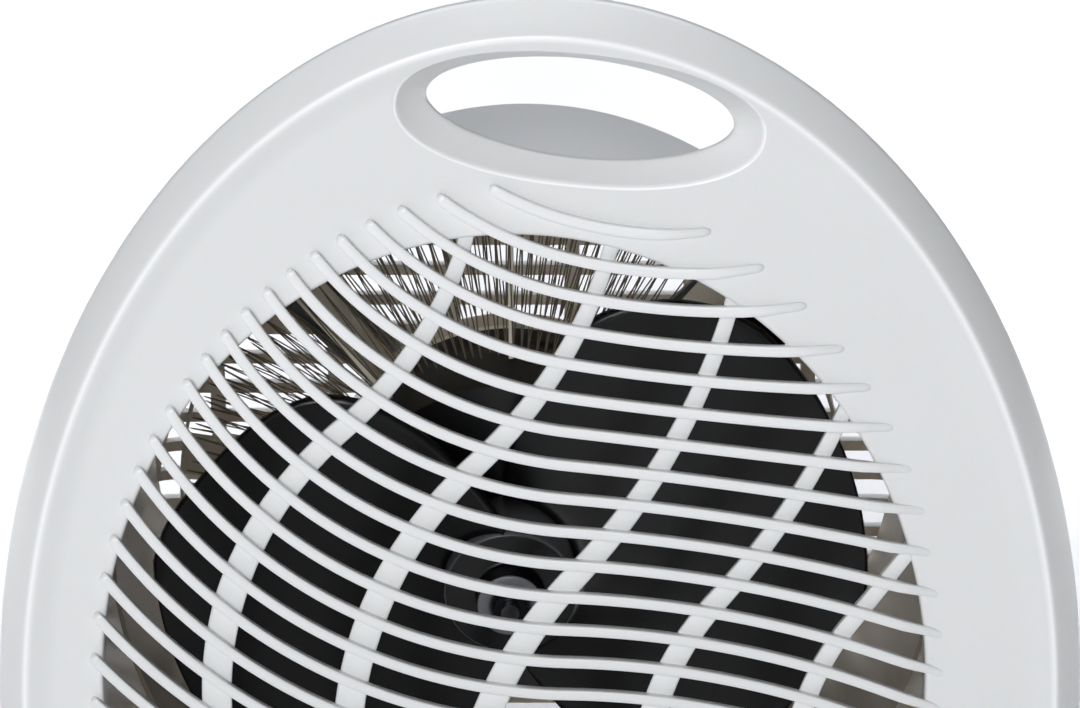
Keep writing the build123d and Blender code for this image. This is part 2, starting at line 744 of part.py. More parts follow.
def make_wire(y0, y1):
    """A flat meander of radial legs joined alternately at their outer and inner ends."""
    inner, outer = vane_inner + wire_margin, vane_outer - wire_margin

    def corner(leg, radius, side):
        x, z = round_axis(wire_from + (wire_to - wire_from) * leg / (wire_legs - 1), radius)
        ux, uz = (x - axis_x) / radius, (z - axis_z) / radius
        return x + side * uz * wire_size / 2, z - side * ux * wire_size / 2

    first, second = [], []
    for leg in range(wire_legs):
        ends = ((inner + wire_size, outer), (inner, outer - wire_size))
        way = 1 if leg % 2 == 0 else -1
        first += [corner(leg, radius, -way) for radius in ends[0][::way]]
        second += [corner(leg, radius, way) for radius in ends[1][::way]]
    return slab(Polygon(*first, *reversed(second), align=None), y0, y1)


def make_thermal_cutout():
    """A round cut-out behind its bracket, with two flat tabs for its leads."""
    x, z = round_axis(cutout_angle, cutout_ring)
    body = rod(x, z, cutout_radius, cutout_front, cutout_back)
    for side in (-1, 1):
        middle = x + side * cutout_radius / 2
        body += block(middle - spider_thickness / 2, middle + spider_thickness / 2, cutout_back,
                      cutout_back + cutout_tab, z - cutout_tab / 4, z + cutout_tab / 4)
    return body


def make_cutout_bracket():
    """A strip with a square window that reaches in from the element's outer band."""
    half = cutout_bracket_width / 2
    reach = math.sqrt(vane_outer ** 2 - half ** 2) - touch
    front = cutout_front - spider_thickness
    strip = block(axis_x - half, axis_x + half, front, cutout_front,
                  axis_z + cutout_ring - cutout_radius - cutout_margin, axis_z + reach)
    window = Pos(axis_x, axis_z + cutout_ring) * RegularPolygon(cutout_window, 4)
    foot = block(axis_x - half, axis_x + half, front, motor_back - screw_head_height - fit,
                 axis_z + reach - spider_thickness, axis_z + reach)
    return turned(strip - slab(window, front, cutout_front) + foot, cutout_angle)


def make_thermal_fuse():
    x = axis_x - vane_thickness / 2 - fuse_radius - touch
    middle = (vane_front + vane_back) / 2
    fuse = post(x, middle, fuse_radius, axis_z + fuse_ring[0], axis_z + fuse_ring[1])
    return turned(fuse, fuse_vane)


# ---------------------------------------------------------------- controls
def control_body(x, size):
    """A box behind the face with its neck through it and a bore for the shaft."""
    width, depth, rise = size
    body = block(x - width / 2, x + width / 2, face_back, face_back + depth,
                 knob_z - rise / 2, knob_z + rise / 2)
    body = fillet(body.edges().filter_by(Axis.Y), wall)
    body += rod(x, knob_z, neck_radius, dish - neck_front, face_back)
    return body - rod(x, knob_z, control_shaft_radius + running, dish - neck_front, shaft_end)


def make_control_shaft(x):
    front = knob_front + knob_wall
    shaft = rod(x, knob_z, control_shaft_radius, front, shaft_end - fit)
    flat = block(x - control_shaft_radius, x + control_shaft_radius, front, dish - neck_front - fit,
                 knob_z + control_shaft_radius / 2, knob_z + control_shaft_radius)
    return shaft - flat


def make_knob(x):
    """A hollow knob with a grip across its front and a D-shaped bore in its hub."""
    face = knob_front + knob_grip_depth
    body = rod(x, knob_z, knob_radius, face, knob_back)
    body = fillet(body.edges().group_by(Axis.Y)[0], knob_wall)
    grip = block(x - knob_grip_width / 2, x + knob_grip_width / 2, knob_front, face + knob_wall,
                 knob_z - knob_radius + knob_grip_inset, knob_z + knob_radius - knob_grip_inset)
    grip = fillet(grip.edges().filter_by(Axis.Y) + grip.edges().group_by(Axis.Y)[0], knob_wall)
    body += grip
    body -= rod(x, knob_z, knob_radius - knob_wall, face + knob_wall, knob_back)
    body += rod(x, knob_z, 2 * control_shaft_radius, face, dish - neck_front - fit)
    bore = rod(x, knob_z, control_shaft_radius + touch, knob_front + knob_wall, knob_back)
    key = block(x - 2 * control_shaft_radius, x + 2 * control_shaft_radius, knob_front, knob_back,
                knob_z + control_shaft_radius / 2 + touch, knob_z + 2 * control_shaft_radius)
    return body - (bore - key)


def make_panel_nuts():
    for side in (-1, 1):
        x = side * knob_x
        nut = Pos(x, knob_z) * RegularPolygon(nut_across / 2, 6, major_radius=False)
        bore = rod(x, knob_z, neck_radius + touch, dish - nut_height, dish)
        yield slab(nut, dish - nut_height, dish) - bore


def make_pilot_lens():
    flange = dish - lens_rim
    body = rod(0, knob_z, lens_flange, flange, dish)
    body += rod(0, knob_z, lens_radius, dish - lens_proud, lens_back)
    body = fillet(body.edges().group_by(Axis.Y)[0], lens_rim)
    return body - rod(0, knob_z, lamp_radius + touch, dish, lens_back)


def make_pilot_lamp():
    return rod(0, knob_z, lamp_radius, dish + fit, dish + lamp_length)


# ---------------------------------------------------------------- electrics
def make_terminal_block():
    width, depth, rise = terminal_size
    body = block(terminal_x - width / 2, terminal_x + width / 2,
                 terminal_y - depth / 2, terminal_y + depth / 2, foot_top, foot_top + rise)
    for place in (-1, 0, 1):
        x = terminal_x + place * width / 3
        body -= post(x, terminal_y - depth / 4, terminal_bore, foot_top + rise / 2, foot_top + rise)
        body -= post(x, terminal_y + depth / 4, terminal_bore, foot_top + rise / 2, foot_top + rise)
    return body


def make_terminal_screws():
    rise = terminal_size[2]
    for place in (-1, 0, 1):
        for side in (-1, 1):
            x = terminal_x + place * terminal_size[0] / 3
            y = terminal_y + side * terminal_size[1] / 4
            yield post(x, y, terminal_bore - touch, foot_top + rise / 2, foot_top + rise - terminal_sunk)


def make_inlet_grommet():
    """A neck in the wall's hole between an outer flange and an inner bead, each a wall thick."""
    body = Part()
    for radius, back in ((inlet_hole_radius + inlet_flange, drum_back + wall),
                         (inlet_hole_radius - touch, drum_back),
                         (inlet_hole_radius + inlet_bead, drum_back - wall)):
        body += tube(inlet_x, inlet_z, radius, inlet_bore, back - wall, back)
    return body


def lead(*points):
    """An insulated wire along straight runs joined by arcs."""
    runs = [math.dist(a, b) for a, b in zip(points, points[1:])]
    path = FilletPolyline(*points, radius=min(lead_bend, 0.45 * min(runs)))
    return sweep(Plane(origin=path @ 0, z_dir=path % 0) * Circle(lead_radius), path)


def make_inner_leads():
    """Leads in the bottom compartment: block to switch, thermostat and lamp, and up to the element."""
    switch_back = face_back + switch_size[1]
    stat_back = face_back + thermostat_size[1]
    row = foot_top + terminal_size[2] / 4
    block_front = terminal_y - terminal_size[1] / 2
    step = terminal_size[0] / 3
    stat_x = -knob_x - stat_tab_x
    tabs = [(knob_x + across, switch_back, knob_z + up) for across, up in switch_tabs]
    exits = [(x, y + reach, z) for (x, y, z), reach in zip(tabs, (lead_reach, lead_stub, lead_stub))]
    lamp_back = dish + lamp_length
    turn_x, turn_z = lamp_lead_turn
    yield lead((terminal_x - step, block_front, row), (terminal_x - step, block_front - lead_reach, row),
               (stat_x, stat_back + lead_reach, knob_z), (stat_x, stat_back, knob_z))
    yield lead((terminal_x, block_front, row), (terminal_x, block_front - lead_reach, row),
               exits[0], tabs[0])
    yield lead(tabs[1], exits[1], (turn_x, lamp_back + lead_reach, knob_z + turn_z),
               (lamp_lead_x, lamp_back + lead_stub, knob_z), (lamp_lead_x, lamp_back, knob_z))
    yield lead(tabs[2], exits[2], (drum_x, lead_hole_y, knob_z + lead_bend),
               (drum_x, lead_hole_y, axis_z - vane_outer - band_sheet - 2 * touch))


pieces = {
    "front_shell": make_front_shell(),
    "rear_shell": make_rear_shell(),
    "base_foot": make_base_foot(),
    "rubber_feet": make_rubber_feet(),
    "case_screws": make_case_screws(),
    "foot_screws": make_foot_screws(),
    "heat_shield": make_heat_shield(),
    "fan_rotor": make_fan_rotor(),
    "fan_clip": make_fan_clip(),
    "motor_shaft": make_motor_shaft(),
    "motor_rotor_core": make_rotor_core(),
    "motor_rotor_end_rings": make_rotor_end_rings(),
    "motor_stator": make_stator(),
    "motor_coils": make_motor_coils(),
    "motor_front_cover": motor_cup(motor_front, motor_split, bearing_front, bearing_front + bearing_height),
    "motor_rear_cover": motor_cup(motor_back, motor_split, bearing_back - bearing_height, bearing_back),
    "motor_bearings": make_motor_bearings(),
    "motor_screws": make_motor_screws(),
    "motor_nuts": make_motor_nuts(),
    "motor_spider": make_spider(),
    "spider_screws": make_spider_screws(),
    "mica_vanes": make_mica_vanes(),
    "element_inner_band": make_band(vane_inner - band_sheet - touch),
    "element_outer_band": make_band(vane_outer + touch),
    "heating_wire_front": make_wire(vane_front - wire_size - touch, vane_front - touch),
    "heating_wire_rear": make_wire(vane_back + touch, vane_back + touch + wire_size),
    "thermal_cutout": make_thermal_cutout(),
    "cutout_bracket": make_cutout_bracket(),
    "thermal_fuse": make_thermal_fuse(),
    "thermostat_body": control_body(-knob_x, thermostat_size),
    "thermostat_shaft": make_control_shaft(-knob_x),
    "thermostat_knob": make_knob(-knob_x),
    "mode_switch_body": control_body(knob_x, switch_size),
    "mode_switch_shaft": make_control_shaft(knob_x),
    "mode_knob": make_knob(knob_x),
    "panel_nuts": make_panel_nuts(),
    "pilot_lens": make_pilot_lens(),
    "pilot_lamp": make_pilot_lamp(),
    "terminal_block": make_terminal_block(),
    "terminal_screws": make_terminal_screws(),
    "inlet_grommet": make_inlet_grommet(),
    "inner_leads": make_inner_leads(),
}

# A group of like pieces is one node of separate solids.
solids = {name: made if isinstance(made, (Compound, Solid)) else Compound(list(made))
          for name, made in pieces.items()}
boxes = [shape.bounding_box() for shape in solids.values()]
front, back = min(box.min.Y for box in boxes), max(box.max.Y for box in boxes)

# The finished heater's origin is on the floor, midway between its front and back.
os.makedirs("parts", exist_ok=True)
for name, shape in solids.items():
    export_step(Pos(0, -(front + back) / 2, 0) * shape, f"parts/{name}.step")
print(f"{len(solids)} nodes; depth {back - front:.1f} mm, moved by {-(front + back) / 2:.2f} mm")
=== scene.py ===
"""A free-standing fan heater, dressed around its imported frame.

Lengths are millimetres while a piece is shaped: X to the right seen from the front, Y back from
the crest of the front rim, Z up from the floor. A finished piece is moved to the frame's metres.
"""

import json
import logging
import math
import random
from dataclasses import dataclass, field
from enum import Enum
from typing import Callable, Sequence

import bmesh
import bpy
from bmesh.types import BMEdge, BMesh, BMVert
from bpy.types import Material, NodeSocket, NodeTree
from mathutils import Matrix, Vector

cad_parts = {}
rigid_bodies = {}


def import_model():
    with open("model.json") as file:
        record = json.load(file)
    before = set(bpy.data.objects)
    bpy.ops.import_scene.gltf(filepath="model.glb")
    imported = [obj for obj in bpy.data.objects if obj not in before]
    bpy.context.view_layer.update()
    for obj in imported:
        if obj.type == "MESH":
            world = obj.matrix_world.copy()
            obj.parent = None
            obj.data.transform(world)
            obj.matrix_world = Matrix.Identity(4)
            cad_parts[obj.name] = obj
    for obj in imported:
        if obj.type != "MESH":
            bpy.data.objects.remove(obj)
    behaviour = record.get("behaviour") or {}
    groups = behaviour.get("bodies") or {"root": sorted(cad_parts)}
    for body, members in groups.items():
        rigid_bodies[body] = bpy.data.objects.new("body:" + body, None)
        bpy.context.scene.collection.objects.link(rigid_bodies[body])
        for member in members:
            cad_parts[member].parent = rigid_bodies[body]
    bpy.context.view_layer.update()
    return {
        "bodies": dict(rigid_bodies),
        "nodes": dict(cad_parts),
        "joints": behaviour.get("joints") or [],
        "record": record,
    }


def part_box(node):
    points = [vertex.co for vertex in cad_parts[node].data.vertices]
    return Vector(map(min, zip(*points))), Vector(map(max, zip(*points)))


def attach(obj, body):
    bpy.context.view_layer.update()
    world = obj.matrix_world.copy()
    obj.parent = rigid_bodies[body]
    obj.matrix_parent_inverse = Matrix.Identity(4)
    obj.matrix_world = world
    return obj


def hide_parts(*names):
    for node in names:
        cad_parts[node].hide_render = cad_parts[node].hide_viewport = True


LOG = logging.getLogger("heater")
MM = 0.001
HOUSING = "housing"
# Mesh attribute for painted highlights: how much a surface is lightened, 0 to 1.
PAINTED_HIGHLIGHT = "painted_highlight"
# How often a search halves its range: depth inside an oval, length along a track, rim against mouth.
DEPTH_HALVINGS, TRACK_HALVINGS, RIM_HALVINGS = 24, 40, 20
# Points closer than this many millimetres are welded.
WELD = 1e-4
Place = tuple[float, float, float]
Point = tuple[float, float]
Socket = str | int


# ---- measures
def signed_power(value: float, power: float) -> float:
    """A number's size raised to a power, with its sign kept."""
    return math.copysign(abs(value) ** power, value)


def halve(keeps: Callable[[float], bool], most: float, times: int) -> Point:
    """Closes in on the largest length that passes a test.

    Args:
        keeps: The test, which short lengths pass and long ones fail.
        most: The largest length of interest.
        times: How often the range is halved.

    Returns:
        The longest length that passed and the shortest that may fail.
    """
    low, high = 0.0, most
    for _ in range(times):
        middle = (low + high) / 2
        if keeps(middle):
            low = middle
        else:
            high = middle
    return low, high


def broken_line(points: Sequence[Point], at: float) -> float:
    """Reads a value off a broken line.

    Args:
        points: Its corners, with rising first values.
        at: The first value looked up.

    Returns:
        The second value there, or an end's beyond it.
    """
    for (first, low), (last, high) in zip(points, points[1:]):
        if at <= last:
            return low + (high - low) * max(0.0, at - first) / (last - first)
    return points[-1][1]


@dataclass(frozen=True)
class Datum:
    """Where the frame puts the heater's front and the fan's axis."""

    front: float
    fan: Point

    @classmethod
    def read(cls, ridge: float) -> "Datum":
        """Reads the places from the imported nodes.

        Args:
            ridge: How far the slats' ridges stand ahead of the rim's crest.

        Returns:
            The places, in millimetres.
        """
        low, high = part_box("fan_clip")
        return cls(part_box("front_shell")[0].y / MM + ridge,
                   ((low.x + high.x) / 2 / MM, (low.z + high.z) / 2 / MM))

    def round_fan(self, angle: float, radius: float, y: float) -> Place:
        """Finds a point round the fan's axis, by degrees clockwise from up."""
        turn = math.radians(angle)
        return self.fan[0] + radius * math.sin(turn), y, self.fan[1] + radius * math.cos(turn)


@dataclass(frozen=True)
class Oval:
    """An oval in the front view, with its own half-heights up and down, a tilt and a squareness."""

    x: float
    z: float
    half_width: float
    up: float
    down: float
    tilt: float = 0.0
    power: float = 2.0

    def grown(self, by: float) -> "Oval":
        """The same oval, larger by this much all round."""
        return Oval(self.x, self.z, self.half_width + by, self.up + by, self.down + by, self.tilt,
                    self.power)

    def ring(self, y: float, count: int) -> list[Place]:
        """Finds points round the oval at one depth.

        Args:
            y: Depth behind the front.
            count: Number of points.

        Returns:
            The points, anticlockwise seen from the front, from the right-hand side.
        """
        tilt = math.radians(self.tilt)
        places = []
        for index in range(count):
            turn = math.tau * index / count
            u = signed_power(math.cos(turn), 2 / self.power) * self.half_width
            v = signed_power(math.sin(turn), 2 / self.power)
            v *= self.up if v > 0 else self.down
            places.append((self.x + u * math.cos(tilt) - v * math.sin(tilt), y,
                           self.z + u * math.sin(tilt) + v * math.cos(tilt)))
        return places

    def holds(self, x: float, z: float) -> bool:
        """Says whether a front-view point lies inside the oval.

        Args:
            x: Across.
            z: Up.

        Returns:
            True inside, False on the edge and outside.
        """
        tilt = math.radians(self.tilt)
        along = (x - self.x) * math.cos(tilt) + (z - self.z) * math.sin(tilt)
        rise = (z - self.z) * math.cos(tilt) - (x - self.x) * math.sin(tilt)
        half_height = self.up if rise > 0 else self.down
        return abs(along / self.half_width) ** self.power + abs(rise / half_height) ** self.power < 1.0

    def depth_inside(self, x: float, z: float, most: float) -> float:
        """How much the oval could shrink, up to a limit, and still hold the point."""
        return halve(lambda by: self.grown(-by).holds(x, z), most, DEPTH_HALVINGS)[0]


@dataclass(frozen=True)
class Track:
    """Two arcs joined smoothly at a point: one runs back from it and one runs on.

    The arc back is back_arc long, and the track runs on straight past its end.
    """

    x: float
    z: float
    heading: float
    bend_back: float
    bend_on: float
    back_arc: float = math.inf

    def at(self, s: float) -> Place:
        """Finds the place and heading at a length along the track.

        Args:
            s: Signed length from the join.

        Returns:
            x, z and the heading in radians.
        """
        bent = max(s, -self.back_arc)
        turn = (self.bend_on if s > 0 else self.bend_back) * bent
        chord = bent * (math.sin(turn / 2) / (turn / 2) if abs(turn) > 1e-9 else 1.0)
        start = math.radians(self.heading)
        straight = s - bent
        return (self.x + chord * math.cos(start + turn / 2) + straight * math.cos(start + turn),
                self.z + chord * math.sin(start + turn / 2) + straight * math.sin(start + turn),
                start + turn)

    def reach(self, oval: Oval, way: int) -> float:
        """Finds where the track leaves an oval.

        Args:
            oval: The oval, which holds the join.
            way: 1 going on from the join, -1 going back.

        Returns:
            The signed length from the join.
        """
        past_oval = 2.5

        def inside(length: float) -> bool:
            """Tests a length, and two on the way to it because a bent track may come back in."""
            return all(oval.holds(*self.at(way * length * share)[:2]) for share in (0.5, 0.75, 1.0))

        return way * halve(inside, past_oval * (oval.half_width + oval.up), TRACK_HALVINGS)[0]


# ---- mesh helpers
class Loft:
    """A skin drawn from ring to ring by extruding its last ring."""

    def __init__(self, bm: BMesh, rings: Sequence[Sequence[Place]], closed: bool = True) -> None:
        """Draws the skin.

        Args:
            bm: The mesh to draw in.
            rings: The points of each ring in order, as many in each.
            closed: Whether the rings join up.
        """
        self.bm = bm
        self.closed = closed
        if closed:
            self.ring = list(bmesh.ops.create_circle(bm, segments=len(rings[0]), radius=1.0)["verts"])
        else:
            self.ring = [bm.verts.new() for _ in rings[0]]
            for a, b in zip(self.ring, self.ring[1:]):
                bm.edges.new((a, b))
        self.first = list(self.ring)
        self._place(self.ring, rings[0])
        for places in rings[1:]:
            self._to(places)

    @staticmethod
    def _place(ring: Sequence[BMVert], places: Sequence[Place]) -> None:
        """Puts a ring's vertices at their points."""
        for vert, place in zip(ring, places):
            vert.co = place

    def edges(self, ring: Sequence[BMVert]) -> list[BMEdge]:
        """Finds the edges between a ring's vertices."""
        following = list(ring[1:]) + ([ring[0]] if self.closed else [])
        return [self.bm.edges.get((a, b)) for a, b in zip(ring, following)]

    def _to(self, places: Sequence[Place]) -> None:
        """Draws the skin on to a new ring.

        Args:
            places: The ring's points.
        """
        made = bmesh.ops.extrude_edge_only(self.bm, edges=self.edges(self.ring))["geom"]
        fresh = {item for item in made if isinstance(item, BMVert)}
        self.ring = [next(edge.other_vert(vert) for edge in vert.link_edges
                          if edge.other_vert(vert) in fresh) for vert in self.ring]
        self._place(self.ring, places)

    def close(self) -> None:
        """Caps both ends."""
        for ring in (self.first, self.ring):
            bmesh.ops.contextual_create(self.bm, geom=self.edges(ring))


def lathe(bm: BMesh, profile: Sequence[Point], centre: Point, steps: int) -> None:
    """Spins a profile round an axis that runs front to back.

    Args:
        bm: The mesh to draw in.
        profile: Points as radius and depth.
        centre: The axis in the front view.
        steps: Segments round the axis.
    """
    verts = [bm.verts.new((centre[0] + radius, y, centre[1])) for radius, y in profile]
    edges = [bm.edges.new(pair) for pair in zip(verts, verts[1:])]
    bmesh.ops.spin(bm, geom=verts + edges, cent=(centre[0], 0, centre[1]), axis=(0, 1, 0), angle=math.tau,
                   steps=steps, use_merge=True)
    bmesh.ops.remove_doubles(bm, verts=bm.verts[:], dist=WELD)


def rounded(points: Sequence[Point], radius: float, steps: int = 4) -> list[Point]:
    """Rounds the inner corners of a profile.

    Args:
        points: The profile's corners; the two ends stay as they are.
        radius: Length cut from each side of a corner.
        steps: Points round each corner.

    Returns:
        The profile with its corners drawn as curves.
    """
    result = [points[0]]
    for before, corner, after in zip(points, points[1:], points[2:]):
        here = Vector(corner)
        back, on = Vector(before) - here, Vector(after) - here
        start = here + back.normalized() * min(radius, back.length / 2)
        end = here + on.normalized() * min(radius, on.length / 2)
        for step in range(steps + 1):
            share = step / steps
            place = start.lerp(here, share).lerp(here.lerp(end, share), share)
            result.append((place.x, place.y))
    return result + [points[-1]]


def blend(low: float, high: float, value: float) -> float:
    """A smooth step from 0 at low to 1 at high, whichever is the larger."""
    share = min(1.0, max(0.0, (value - low) / (high - low)))
    return share * share * (3 - 2 * share)


def placed(name: str, data: bpy.types.ID) -> bpy.types.Object:
    """Puts data into the scene as an object.

    Args:
        name: The object's name.
        data: A mesh, light or camera.

    Returns:
        The object.
    """
    thing = bpy.data.objects.new(name, data)
    bpy.context.scene.collection.objects.link(thing)
    return thing


@dataclass(frozen=True)
class Piece:
    """Makes a finished object out of a mesh shaped in millimetres."""

    datum: Datum
    finishes: "Finishes"

    def finish(self, bm: BMesh, name: str, look: "Finish", body: str,
               nodes: Sequence[str], slot: str, sheet: float = 0.0, sharp: float = 40.0,
               painted_highlight: Callable[[Vector], float] | None = None) -> None:
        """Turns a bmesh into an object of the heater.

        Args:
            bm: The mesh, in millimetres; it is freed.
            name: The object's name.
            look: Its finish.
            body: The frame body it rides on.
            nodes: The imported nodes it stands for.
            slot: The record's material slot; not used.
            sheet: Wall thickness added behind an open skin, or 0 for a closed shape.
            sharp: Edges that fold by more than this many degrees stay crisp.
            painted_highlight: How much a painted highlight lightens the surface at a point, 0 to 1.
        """
        if painted_highlight:
            layer = bm.verts.layers.float.new(PAINTED_HIGHLIGHT)
            for vert in bm.verts:
                vert[layer] = painted_highlight(vert.co)
        if not sheet:
            bmesh.ops.recalc_face_normals(bm, faces=bm.faces[:])
        shift = Matrix.Translation((0, self.datum.front * MM, 0)) @ Matrix.Scale(MM, 4)
        bmesh.ops.transform(bm, matrix=shift, verts=bm.verts[:])
        for face in bm.faces:
            face.smooth = True
        for edge in bm.edges:
            if len(edge.link_faces) == 2 and edge.calc_face_angle(0.0) > math.radians(sharp):
                edge.smooth = False
        mesh = bpy.data.meshes.new(name)
        bm.to_mesh(mesh)
        bm.free()
        piece = placed(name, mesh)
        mesh.materials.append(self.finishes.get(look))
        if sheet:
            wall = piece.modifiers.new("wall", "SOLIDIFY")
            wall.thickness = sheet * MM
            wall.offset = -1.0
        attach(piece, body)
        if nodes:
            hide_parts(*nodes)
        LOG.info("%s: %d faces on %s", name, len(mesh.polygons), body)


# ---- finishes
def linear(colour: str) -> tuple[float, float, float, float]:
    """Turns an sRGB hex colour into linear values by the sRGB curve.

    Args:
        colour: The colour, as # and six hex digits.

    Returns:
        Red, green, blue and full alpha.
    """
    channels = []
    for start in (1, 3, 5):
        value = int(colour[start:start + 2], 16) / 255
        channels.append(value / 12.92 if value <= 0.04045 else ((value + 0.055) / 1.055) ** 2.4)
    return (*channels, 1.0)


def add(tree: NodeTree, kind: str,
        links: dict[Socket, NodeSocket] | None = None,
        values: dict[Socket, object] | None = None, **settings: object) -> bpy.types.Node:
    """Adds a node with its settings, values and links.

    Args:
        tree: The material's node tree.
        kind: The node's type name without its ShaderNode prefix.
        links: Input sockets and the outputs that feed them.
        values: Input sockets and their fixed values.
        **settings: The node's own properties.

    Returns:
        The node.
    """
    node = tree.nodes.new("ShaderNode" + kind)
    for key, value in settings.items():
        setattr(node, key, value)
    for key, value in (values or {}).items():
        node.inputs[key].default_value = value
    for key, source in (links or {}).items():
        tree.links.new(source, node.inputs[key])
    return node


class Grain(Enum):
    """The small relief that a way of making leaves on a surface."""

    MOULDED = "moulded"
    BRUSHED = "brushed"
    STACKED = "stacked"
    SPANGLED = "spangled"
    WOUND = "wound"
    SPLIT = "split"


@dataclass(frozen=True)
class Finish:
    """A material: what it is, its colours and how it was made.

    Sizes are in millimetres. A pattern runs in the object's own coordinates.
    """

    name: str
    colour: str
    second: str
    grain: Grain
    size: float
    roughness: float
    spread: float = 0.08
    relief: float = 0.01
    metallic: float = 0.0
    extras: dict[str, float] = field(default_factory=dict)
    # Colour of the painted highlight, mixed in where the mesh's attribute asks for it.
    painted_highlight: str = ""

    def _pattern(self, tree: NodeTree, place: NodeSocket) -> NodeSocket:
        """Makes the value, 0 to 1, that the finish's relief and colours follow.

        Args:
            tree: The material's node tree.
            place: The coordinates.

        Returns:
            The pattern's output socket.
        """
        scale = 1.0 / (self.size * MM)
        if self.grain is Grain.SPANGLED:
            return add(tree, "TexVoronoi", {"Vector": place}, {"Scale": scale}).outputs["Color"]
        if self.grain in (Grain.STACKED, Grain.WOUND):
            # A wave texture repeats every 2 pi / 20 at a scale of 1.
            wave = add(tree, "TexWave", {"Vector": place},
                       {"Scale": scale / 20 * math.pi, "Distortion": 0.4, "Detail": 1.0},
                       bands_direction="Y" if self.grain is Grain.STACKED else "DIAGONAL")
            return wave.outputs["Fac"]
        # Brushing drags the noise out front to back, and split layers lie flat.
        stretch = {Grain.BRUSHED: (1.0, 0.06, 1.0), Grain.SPLIT: (0.25, 0.25, 1.0)}.get(
            self.grain, (1.0, 1.0, 1.0))
        mapped = add(tree, "Mapping", {"Vector": place}, {"Scale": stretch}).outputs["Vector"]
        return add(tree, "TexNoise", {"Vector": mapped},
                   {"Scale": scale, "Detail": 3.0, "Roughness": 0.55}).outputs["Fac"]

    def make(self) -> Material:
        """Builds the node material.

        Returns:
            The material.
        """
        material = bpy.data.materials.new(self.name)
        material.use_nodes = True
        tree = material.node_tree
        shader = tree.nodes["Principled BSDF"]
        shader.inputs["Roughness"].default_value = self.roughness
        place = add(tree, "TexCoord").outputs["Object"]
        fine = self._pattern(tree, place)
        # Broad, faint unevenness keeps large faces from one flat tone.
        patch, least_roughness = 0.035, 0.02
        broad = add(tree, "TexNoise", {"Vector": place},
                    {"Scale": 1 / patch, "Detail": 2.0}).outputs["Fac"]
        mixed = add(tree, "Math", {0: fine, 1: broad}, operation="MULTIPLY").outputs[0]
        tones = {"A": linear(self.colour), "B": linear(self.second)}
        colour = add(tree, "Mix", {"Factor": mixed}, tones, data_type="RGBA").outputs["Result"]
        # Painted highlight: the mesh attribute mixes a lighter colour in.
        if self.painted_highlight:
            edge = add(tree, "Attribute", attribute_name=PAINTED_HIGHLIGHT).outputs["Fac"]
            colour = add(tree, "Mix", {"Factor": edge, "A": colour}, {"B": linear(self.painted_highlight)},
                         data_type="RGBA").outputs["Result"]
        tree.links.new(colour, shader.inputs["Base Color"])
        rough = add(tree, "MapRange", {"Value": broad},
                    {"To Min": max(least_roughness, self.roughness - self.spread),
                     "To Max": self.roughness + self.spread})
        tree.links.new(rough.outputs["Result"], shader.inputs["Roughness"])
        bump = add(tree, "Bump", {"Height": fine}, {"Strength": 1.0, "Distance": self.relief * MM})
        tree.links.new(bump.outputs["Normal"], shader.inputs["Normal"])
        shader.inputs["Metallic"].default_value = self.metallic
        for key, value in self.extras.items():
            shader.inputs[key].default_value = value
        return material


# Soft, slightly waxy white with a very fine matt grain from the tool, and a near-white painted highlight
# for the crest, lips, funnel and slats.
WHITE_PP = Finish("moulded white polypropylene", "#E5E6E5", "#DFE0DF", Grain.MOULDED, 0.5, 0.3, 0.04,
                  0.006, extras={"Subsurface Weight": 0.05, "Subsurface Scale": 0.002}, painted_highlight="#FCFCFC")
# The foot's own moulding: a shade greyer and duller than the casing.
FOOT_PP = Finish("moulded grey-white polypropylene", "#DEDFE1", "#D6D7D9", Grain.MOULDED, 0.5, 0.4,
                 0.04, 0.008)
# Jet black with a soft gloss, and a grey painted highlight on the hub's rings.
BLACK_STYRENE = Finish("polished black styrene", "#050506", "#0A0A0B", Grain.MOULDED, 2.0, 0.3, 0.04,
                       0.002, extras={"Specular IOR Level": 0.4}, painted_highlight="#77797D")
# Dull zinc crystals a few millimetres across.
GALVANISED = Finish("galvanised steel sheet", "#A9ABAC", "#85888A", Grain.SPANGLED, 5.0, 0.38,
                    metallic=0.9)
# Browned by heat to a warm grey-beige, with faint rolling lines.
ALUMINISED = Finish("heat-browned aluminised sheet", "#9A9080", "#7F7465", Grain.BRUSHED, 1.2, 0.42,
                    metallic=0.55)
# Even, softly glossy black on the motor's covers.
BLACK_ENAMEL = Finish("black stoved enamel", "#101011", "#1B1B1D", Grain.MOULDED, 0.8, 0.3)
# Thin split layers in pale beige.
MICA = Finish("pressed mica board", "#E6DFCF", "#CBBFA8", Grain.SPLIT, 1.5, 0.35, 0.1, 0.03)
# Wire dulled to grey-brown by its own heat.
NICHROME = Finish("oxidised nickel-chrome wire", "#8A7F6E", "#6A6053", Grain.BRUSHED, 0.8, 0.5, 0.1, 0.01,
                  0.3)
# Deep red-brown with the gloss of a pressed moulding.
PHENOLIC = Finish("brown phenolic moulding", "#4A2A1C", "#38200F", Grain.MOULDED, 0.8, 0.34)
# Soft black with a trace of metal at grazing light.
BLACKED_STEEL = Finish("blacked spring steel", "#1C1C1D", "#2A2A2B", Grain.BRUSHED, 0.6, 0.4,
                       metallic=0.6)
# Almost black, with a faint cold sheen from its heat bluing.
BLUED_STEEL = Finish("blued spring steel", "#222327", "#17181B", Grain.BRUSHED, 0.4, 0.34, 0.06, 0.005,
                     0.8)
# Light screw heads with a clear, slightly streaked shine.
ZINC = Finish("bright zinc plate", "#C4C5C3", "#A5A6A3", Grain.BRUSHED, 0.5, 0.28, metallic=0.95)
# Darker, colder and smoother than the plated screws.
GROUND_STEEL = Finish("ground steel", "#8A8B8E", "#707174", Grain.BRUSHED, 0.3, 0.25, 0.06, 0.005, 1.0)
# Fine light and dark lines of the sheets' cut edges.
LAMINATIONS = Finish("stacked electrical sheet", "#6B6A69", "#3B3A39", Grain.STACKED, 0.5, 0.5, 0.1, 0.05,
                     0.7)
